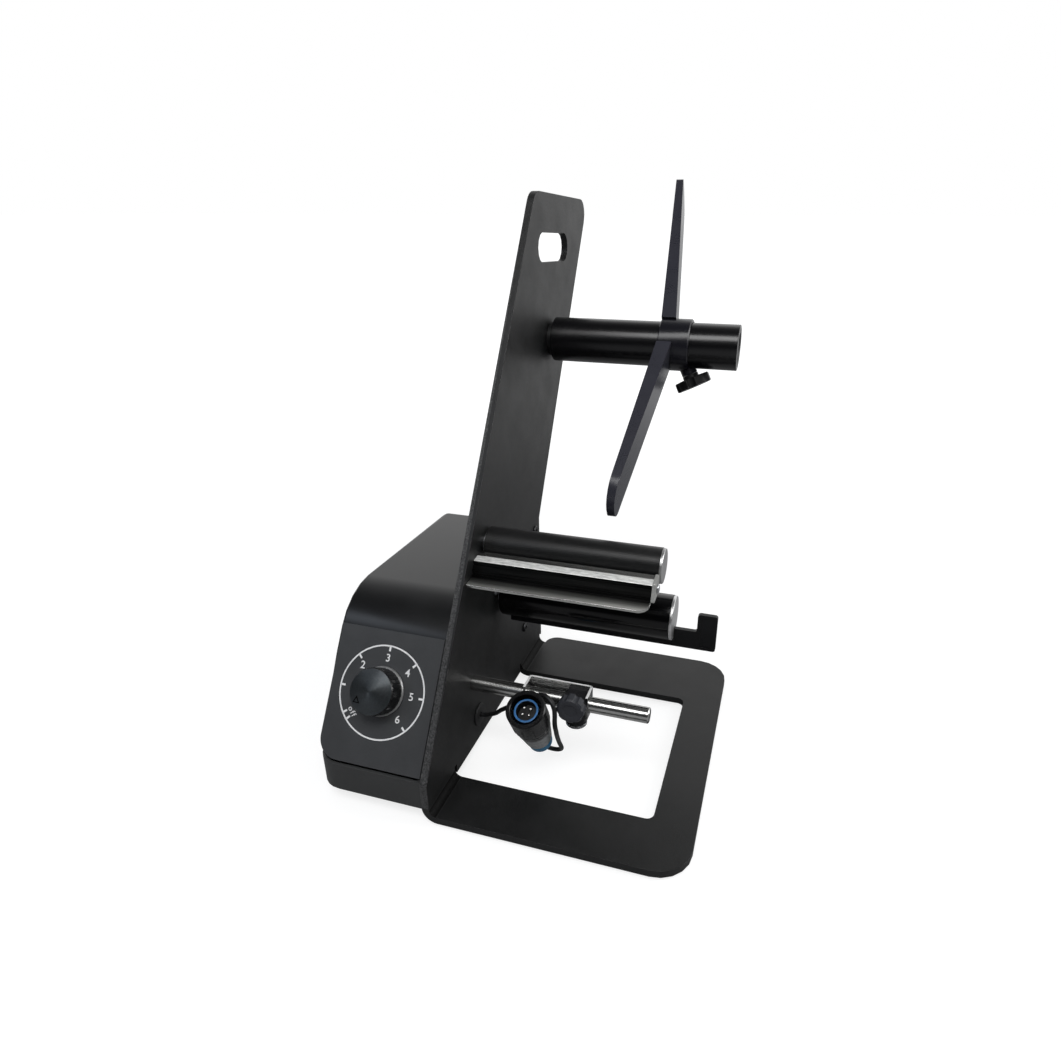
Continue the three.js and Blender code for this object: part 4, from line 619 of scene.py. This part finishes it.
# metres from the axis: where the blades and their taper begin, the run of each, and the thickening
blade_from, taper_from, taper_run, swell_run, swell = 0.02, 0.01, 0.128, 0.02, 0.0014
for point in guide.data.vertices:
    # the blades keep a blunt, thicker far edge towards their tips
    x = bench_place(point.co)[0]
    reach = (point.co - on_bench(x, tube_y, tube_z)).length
    if reach > blade_from and x > far_edge - edge_taper * (reach - taper_from) / taper_run - edge_band:
        point.co.x += swell * min(1, (reach - blade_from) / swell_run)
coat_with(guide, enamel, collar_painted_shade)
# the collar's faces get a darker copy of the enamel, painted shade
for face in guide.data.polygons:
    x, y, z = bench_place(face.center)
    if math.hypot(y - tube_y, z - tube_z) < collar_reach:
        face.material_index = 1
settle(guide, "roll_guide", "roll_guide")
thumb_black = surface("thumb screw black", (0.003, 0.003, 0.0034), (0.007, 0.007, 0.0076), (0.3, 0.4),
                      1500, 0.00003)
dress("thumb_screw", "thumb_screw", thumb_black, 0.0003, 2, 34)


# Guide roller: alloy core with a turned end and a ground black rubber sleeve pressed over it. It
# idles on a fixed axle that a nut holds from behind the tower.
sleeve_rubber = surface("sleeve rubber", (0.003, 0.003, 0.0032), (0.009, 0.009, 0.0094), (0.36, 0.46),
                        1100, 0.00003, stretch=(0.35, 1, 1), shine=0.42)
dress("guide_sleeve", "guide_roller", sleeve_rubber, 0.0002)
across = (0, math.radians(90), 0)
roller_end = spun("turned roller end", (0.5, 0.5, 0.5), (0.62, 0.62, 0.62), (0.34, 0.42),
                  on_bench(0, 99, 130.6), across, 700, 0.000004, 1.0)
dress("guide_core", "guide_roller", roller_end, 0.0002)
dress("guide_axle", "base", zinc)
dress("guide_nut", "base", zinc)


# Peel bar: folded stainless sheet, brushed along its length, with a painted highlight behind the
# ridge, painted shade on the front below it, and painted shade on the lip that turns to painted
# highlight at its free edge. A square alloy bar backs it, and an end plate with one screw closes it.
along_bar = (0.02, 1, 1)
brushed = surface("brushed stainless", (0.5, 0.5, 0.485), (0.7, 0.7, 0.68), (0.14, 0.22), 1500,
                  0.000002, metal=1.0, stretch=along_bar, broad=220)
ridge_painted_highlight = surface("ridge painted highlight", (0.6, 0.6, 0.58), (1.0, 1.0, 0.97), (0.34, 0.46), 900, 0.00002, metal=0.4,
               stretch=(0.35, 1, 1), broad=500)
front_painted_shade = surface("front painted shade", (0.02, 0.02, 0.02), (0.05, 0.05, 0.048), (0.24, 0.34), 1500, 0.000001,
                 metal=1.0, stretch=along_bar, broad=220)
lip_steel = surface("lip steel", (0.5, 0.5, 0.48), (0.75, 0.75, 0.72), (0.34, 0.44), 1500, 0.000001,
                    metal=1.0, stretch=along_bar, broad=220)
# the lip's colour runs from near black at the fold to bright at its free edge, painted shade turning to
# painted highlight
tree = lip_steel.node_tree
across_lip = tree.nodes.new("ShaderNodeSeparateXYZ")
place = next(n for n in tree.nodes if n.type == "TEX_COORD")
tree.links.new(place.outputs["Object"], across_lip.inputs["Vector"])
lip_shade_to_highlight = tree.nodes.new("ShaderNodeMapRange")
lip_shade_to_highlight.inputs["From Min"].default_value = -0.0906
lip_shade_to_highlight.inputs["From Max"].default_value = -0.0988
lip_shade_to_highlight.inputs["To Min"].default_value = 0.06
lip_shade_to_highlight.inputs["To Max"].default_value = 1.25
tree.links.new(across_lip.outputs["Y"], lip_shade_to_highlight.inputs["Value"])
lip_painted_light = tree.nodes.new("ShaderNodeVectorMath")
lip_painted_light.operation = "SCALE"
tree.links.new(next(n for n in tree.nodes if n.type == "VALTORGB").outputs["Color"], lip_painted_light.inputs[0])
tree.links.new(lip_shade_to_highlight.outputs["Result"], lip_painted_light.inputs["Scale"])
tree.links.new(lip_painted_light.outputs["Vector"], tree.nodes["Principled BSDF"].inputs["Base Color"])
end_steel = surface("end plate steel", (0.3, 0.3, 0.29), (0.5, 0.5, 0.48), (0.36, 0.46), 1500, 0.000004,
                    metal=0.5)
peel = bare("peel_plate")
painted_highlight_wide, soft_edge, close_by = 0.0054, 0.0004, 0.0004
lip_y, lip_z = 64.2, 119.3
ridge = on_bench(0, 77.5, 128.9)
behind = (on_bench(0, 87.2, 130.2) - ridge).normalized()
alone(peel)
bpy.ops.object.mode_set(mode="EDIT")
bpy.ops.mesh.select_all(action="SELECT")
bpy.ops.mesh.bisect(plane_co=ridge + behind * painted_highlight_wide, plane_no=behind)
bpy.ops.mesh.select_all(action="DESELECT")
bpy.ops.object.mode_set(mode="OBJECT")
for edge in peel.data.edges:
    # the ridge and the upper edge of the lip
    near, other = [peel.data.vertices[i].co for i in edge.vertices]
    level = math.hypot(near.y - other.y, near.z - other.z) < 0.0001
    on_ridge = math.hypot(near.y - ridge.y, near.z - ridge.z) < close_by
    on_lip = (near - on_bench(bench_place(near)[0], lip_y, lip_z)).length < close_by
    edge.select = level and (on_ridge or on_lip)
bpy.ops.object.mode_set(mode="EDIT")
bpy.ops.mesh.select_mode(type="EDGE")
bpy.ops.mesh.bevel(offset=soft_edge, segments=3, affect="EDGES")
bpy.ops.object.mode_set(mode="OBJECT")
ease(peel, 0, 2, 20)
coat_with(peel, brushed, ridge_painted_highlight, front_painted_shade, lip_steel)
for face in peel.data.polygons:
    # the strip behind the ridge gets the painted highlight, the front below it painted shade, the lip is
    # steel
    back = (face.center - ridge).dot(behind)
    if face.normal.z > 0.4 and -0.001 < back < painted_highlight_wide and face.center.z > ridge.z - 0.001:
        face.material_index = 1
    elif face.normal.y < -0.75 and face.center.y > ridge.y - 0.006:
        face.material_index = 2
    elif face.normal.z > 0.5 and face.center.y < ridge.y - 0.004:
        face.material_index = 3
settle(peel, "base", "peel_plate")
for node, slot, finish in (("peel_bar", "alloy", bright), ("peel_end_plate", "stainless", end_steel),
                           ("peel_end_screw", "zinc", zinc), ("peel_screw_1", "zinc", zinc)):
    dress(node, "base", finish)


# Take-up roller: black anodised roller with a slot for the liner, light end cap, on the gearmotor's
# shaft. The liner clip is a flat moulded bar with a hook that slides into the slot.
roller_black = surface("roller black", (0.0015, 0.0015, 0.0018), (0.003, 0.003, 0.0035), (0.14, 0.2),
                       1300, 0.000006, stretch=(0.12, 1, 1), shine=0.35)
dress("take_up_roller", "take_up", roller_black, 0.0002)
cap_end = spun("turned cap end", (0.75, 0.75, 0.75), (0.88, 0.88, 0.88), (0.34, 0.42),
               on_bench(0, 119, 86), across, 700, 0.000004, 1.0)
dress("take_up_cap", "take_up", cap_end, 0.0002)
dress("take_up_shaft", "take_up", zinc, 0.0002)
clip_black = surface("clip black", (0.0025, 0.0025, 0.003), (0.006, 0.006, 0.0068), (0.26, 0.34), 1500,
                     0.00002, shine=0.3)
dress("liner_clip", "liner_clip", clip_black, 0.00045, 3)


# Gearmotor: zinc plated gear case with a drawn alloy motor can behind it. It stands behind the
# tower, inside the hood, and three screws hold it.
for node, slot, finish in (
        ("gear_case", "zinc", zinc), ("drive_motor", "alloy", bright), ("motor_screw_1", "zinc", zinc),
        ("motor_screw_2", "zinc", zinc), ("motor_screw_3", "zinc", zinc)):
    dress(node, "base", finish, 0.0002)


# Control board and power inlet: green circuit board that stands in the tray, and a moulded black
# inlet in the back wall of the hood, held by its own nut.
board_green = surface("solder mask", (0.008, 0.05, 0.02), (0.013, 0.075, 0.032), (0.3, 0.42), 700,
                      0.00002)
for node, slot, finish in (
        ("control_board", "board_green", board_green), ("power_inlet", "plastic_black", black_plastic_and_hub_shade),
        ("power_inlet_nut", "plastic_black", black_plastic_and_hub_shade)):
    dress(node, "base", finish, 0.0002)


# Case screws: two blackened steel screws with hexagon sockets in the tower's inner face. They go
# through the tower and hold the hood and the tray.
screw_black = surface("blackened screws", (0.02, 0.02, 0.021), (0.045, 0.045, 0.047), (0.3, 0.42), 1100,
                      0.00001, metal=1.0)
for node in ("case_screw_upper", "case_screw_lower"):
    dress(node, "base", screw_black, 0.00015)


# Sensor rod: ground stainless rod screwed to the tower. The carriage on it is a bent stainless
# bracket with a moulded clamp block, a lobed clamp knob and a short sensor barrel with a bright ring.
ground = surface("ground stainless", (0.56, 0.56, 0.545), (0.68, 0.68, 0.665), (0.2, 0.25), 1500,
                 0.0000001, metal=1.0, stretch=(0.05, 1, 1), broad=200)
dress("sensor_rod", "base", ground, 0.0002)
bracket_steel = surface("bracket steel", (0.3, 0.3, 0.3), (0.42, 0.42, 0.42), (0.22, 0.3), 1500,
                        0.0000005, metal=1.0, stretch=(0.04, 1, 1), broad=200)
rim_painted_highlight = surface("bracket rim painted highlight", (0.7, 0.7, 0.69), (0.9, 0.9, 0.89), (0.35, 0.45), 1500, 0.000001,
                    metal=0.2)
bracket = broken_edges("sensor_bracket", 0.0002, 2)
coat_with(bracket, bracket_steel, rim_painted_highlight)
rim_height = 0.055
for face in bracket.data.polygons:
    # the bracket's cut upper edge is painted light, a painted highlight
    if face.normal.z > 0.6 and face.center.z > rim_height:
        face.material_index = 1
settle(bracket, "sensor_carriage", "sensor_bracket")
moulded = surface("moulded black", (0.007, 0.007, 0.008), (0.012, 0.012, 0.014), (0.36, 0.48), 1500,
                  0.00002)
knob_blue_black = surface("clamp knob black", (0.022, 0.023, 0.028), (0.034, 0.036, 0.043),
                          (0.34, 0.42), 1500, 0.00002)
block_top, lobes_swell = 0.0575, 1.16
knob_middle, lobes_back = on_bench(66.9, 0, 54.2), on_bench(0, 57.8, 0).y
for node, body, slot, finish, width in (
        ("sensor_clamp", "sensor_carriage", "plastic_black", moulded, 0.0004),
        ("sensor_barrel", "sensor_carriage", "plastic_black", moulded, 0.0004),
        ("sensor_ring", "sensor_carriage", "zinc", bright, 0.0002),
        ("clamp_knob", "clamp_knob", "plastic_black", knob_blue_black, 0.0006),
        ("rod_screw", "base", "zinc", zinc, 0.0002)):
    piece = bare(node)
    for point in piece.data.vertices:
        if node == "sensor_clamp":
            # the block stands just under the bracket's rim
            point.co.z = min(point.co.z, block_top + (point.co.z - block_top) * 0.05)
        if node == "clamp_knob" and point.co.y < lobes_back:
            # the lobes in front stand out further than the knob's foot
            point.co.x = knob_middle.x + (point.co.x - knob_middle.x) * lobes_swell
            point.co.z = knob_middle.z + (point.co.z - knob_middle.z) * lobes_swell
    ease(piece, width, 3)
    coat_with(piece, finish)
    settle(piece, body, node)


# Feet: black rubber, four thin discs under the base plate and two taller ones under the tray, so
# that both stand level on the table.
for node in ("base_foot_1", "base_foot_2", "base_foot_3", "base_foot_4", "tray_foot_1", "tray_foot_2"):
    dress(node, "base", rubber, 0.0005, 3)


# Studio: mid-grey table that is seen white, a large soft lamp above the front, one to the right and
# a weak bluish one to the left. The surround lights the shade evenly, and in mirroring faces it is
# bright only low down behind the machine.
bpy.ops.mesh.primitive_plane_add(size=80, location=(0, 0, 0))
table = bpy.context.object
table.name = "table"
table_white = bpy.data.materials.new("table white")
table_white.use_nodes = True
tree = table_white.node_tree
shader = tree.nodes["Principled BSDF"]
shader.inputs["Base Color"].default_value = (0.3, 0.3, 0.3, 1)
shader.inputs["Roughness"].default_value = 0.8
shader.inputs["Specular IOR Level"].default_value = 0
# away from the machine the table fades into the white backdrop
place = tree.nodes.new("ShaderNodeTexCoord")
far = tree.nodes.new("ShaderNodeVectorMath")
far.operation = "LENGTH"
tree.links.new(place.outputs["Object"], far.inputs[0])
fade = tree.nodes.new("ShaderNodeMapRange")
fade.interpolation_type = "SMOOTHSTEP"
fade.inputs["From Min"].default_value = 0.2
fade.inputs["From Max"].default_value = 1.1
fade.inputs["To Min"].default_value = 0.78
fade.inputs["To Max"].default_value = 1
tree.links.new(far.outputs["Value"], fade.inputs["Value"])
path = tree.nodes.new("ShaderNodeLightPath")
either = tree.nodes.new("ShaderNodeMath")
either.operation = "MAXIMUM"
tree.links.new(path.outputs["Is Camera Ray"], either.inputs[0])
tree.links.new(path.outputs["Is Transmission Ray"], either.inputs[1])
seen = tree.nodes.new("ShaderNodeMath")
seen.operation = "MULTIPLY"
tree.links.new(either.outputs[0], seen.inputs[0])
tree.links.new(fade.outputs["Result"], seen.inputs[1])
sweep = tree.nodes.new("ShaderNodeMapRange")
sweep.interpolation_type = "SMOOTHSTEP"
sweep.inputs["From Min"].default_value = 0.3
sweep.inputs["From Max"].default_value = 0.9
sweep.inputs["To Min"].default_value = 0
sweep.inputs["To Max"].default_value = 0.55
behind_it = tree.nodes.new("ShaderNodeSeparateXYZ")
tree.links.new(place.outputs["Object"], behind_it.inputs["Vector"])
tree.links.new(behind_it.outputs["Y"], sweep.inputs["Value"])
mirrored = tree.nodes.new("ShaderNodeMath")
mirrored.operation = "MULTIPLY_ADD"
tree.links.new(path.outputs["Is Glossy Ray"], mirrored.inputs[0])
tree.links.new(sweep.outputs["Result"], mirrored.inputs[1])
tree.links.new(seen.outputs[0], mirrored.inputs[2])
shader.inputs["Emission Color"].default_value = (1, 1, 1, 1)
tree.links.new(mirrored.outputs[0], shader.inputs["Emission Strength"])
coat_with(table, table_white)


def soft_lamp(name, place, aim, size, power):
    light = bpy.data.lights.new(name, "AREA")
    light.shape = "RECTANGLE"
    light.size, light.size_y = size
    light.energy = power
    lamp = bpy.data.objects.new(name, light)
    lamp.location = place
    lamp.rotation_euler = (Vector(aim) - Vector(place)).to_track_quat("-Z", "Y").to_euler()
    bpy.context.scene.collection.objects.link(lamp)


soft_lamp("front lamp", (0.15, -0.75, 1.25), (0, 0, 0.12), (0.9, 0.5), 9)
soft_lamp("right lamp", (1.2, 0.25, 0.7), (0, 0, 0.15), (0.6, 0.8), 6.5)
soft_lamp("left lamp", (-0.74, -0.86, 0.9), (-0.05, -0.1, 0.08), (0.36, 0.24), 0.9)
bpy.data.lights["left lamp"].color = (0.8, 0.88, 1)

world = bpy.data.worlds.new("studio")
world.use_nodes = True
bpy.context.scene.world = world
tree = world.node_tree
tree.nodes.clear()
out = tree.nodes.new("ShaderNodeOutputWorld")
shade = tree.nodes.new("ShaderNodeBackground")
shade.inputs["Color"].default_value = (0.95, 0.97, 1, 1)
shade.inputs["Strength"].default_value = 0.45
white = tree.nodes.new("ShaderNodeBackground")
white.inputs["Color"].default_value = (1, 1, 1, 1)
white.inputs["Strength"].default_value = 1
path = tree.nodes.new("ShaderNodeLightPath")
either = tree.nodes.new("ShaderNodeMath")
either.operation = "MAXIMUM"
tree.links.new(path.outputs["Is Camera Ray"], either.inputs[0])
tree.links.new(path.outputs["Is Transmission Ray"], either.inputs[1])
place = tree.nodes.new("ShaderNodeTexCoord")
apart = tree.nodes.new("ShaderNodeSeparateXYZ")
tree.links.new(place.outputs["Generated"], apart.inputs["Vector"])
rear = tree.nodes.new("ShaderNodeMapRange")
rear.interpolation_type = "SMOOTHSTEP"
rear.inputs["From Min"].default_value = -0.3
rear.inputs["From Max"].default_value = 0.5
rear.inputs["To Min"].default_value = 0.015
rear.inputs["To Max"].default_value = 1.25
tree.links.new(apart.outputs["Y"], rear.inputs["Value"])
low = tree.nodes.new("ShaderNodeMapRange")
low.interpolation_type = "SMOOTHSTEP"
low.inputs["From Min"].default_value = 0.5
low.inputs["From Max"].default_value = 0.95
low.inputs["To Min"].default_value = 1
low.inputs["To Max"].default_value = 0.12
tree.links.new(apart.outputs["Z"], low.inputs["Value"])
band = tree.nodes.new("ShaderNodeMath")
band.operation = "MULTIPLY"
tree.links.new(rear.outputs["Result"], band.inputs[0])
tree.links.new(low.outputs["Result"], band.inputs[1])
mirror = tree.nodes.new("ShaderNodeBackground")
tree.links.new(band.outputs[0], mirror.inputs["Strength"])
mix_mirror = tree.nodes.new("ShaderNodeMixShader")
tree.links.new(path.outputs["Is Glossy Ray"], mix_mirror.inputs["Fac"])
tree.links.new(shade.outputs["Background"], mix_mirror.inputs[1])
tree.links.new(mirror.outputs["Background"], mix_mirror.inputs[2])
mix = tree.nodes.new("ShaderNodeMixShader")
tree.links.new(either.outputs[0], mix.inputs["Fac"])
tree.links.new(mix_mirror.outputs["Shader"], mix.inputs[1])
tree.links.new(white.outputs["Background"], mix.inputs[2])
tree.links.new(mix.outputs["Shader"], out.inputs["Surface"])

scene = bpy.context.scene
scene.view_settings.view_transform = "Standard"
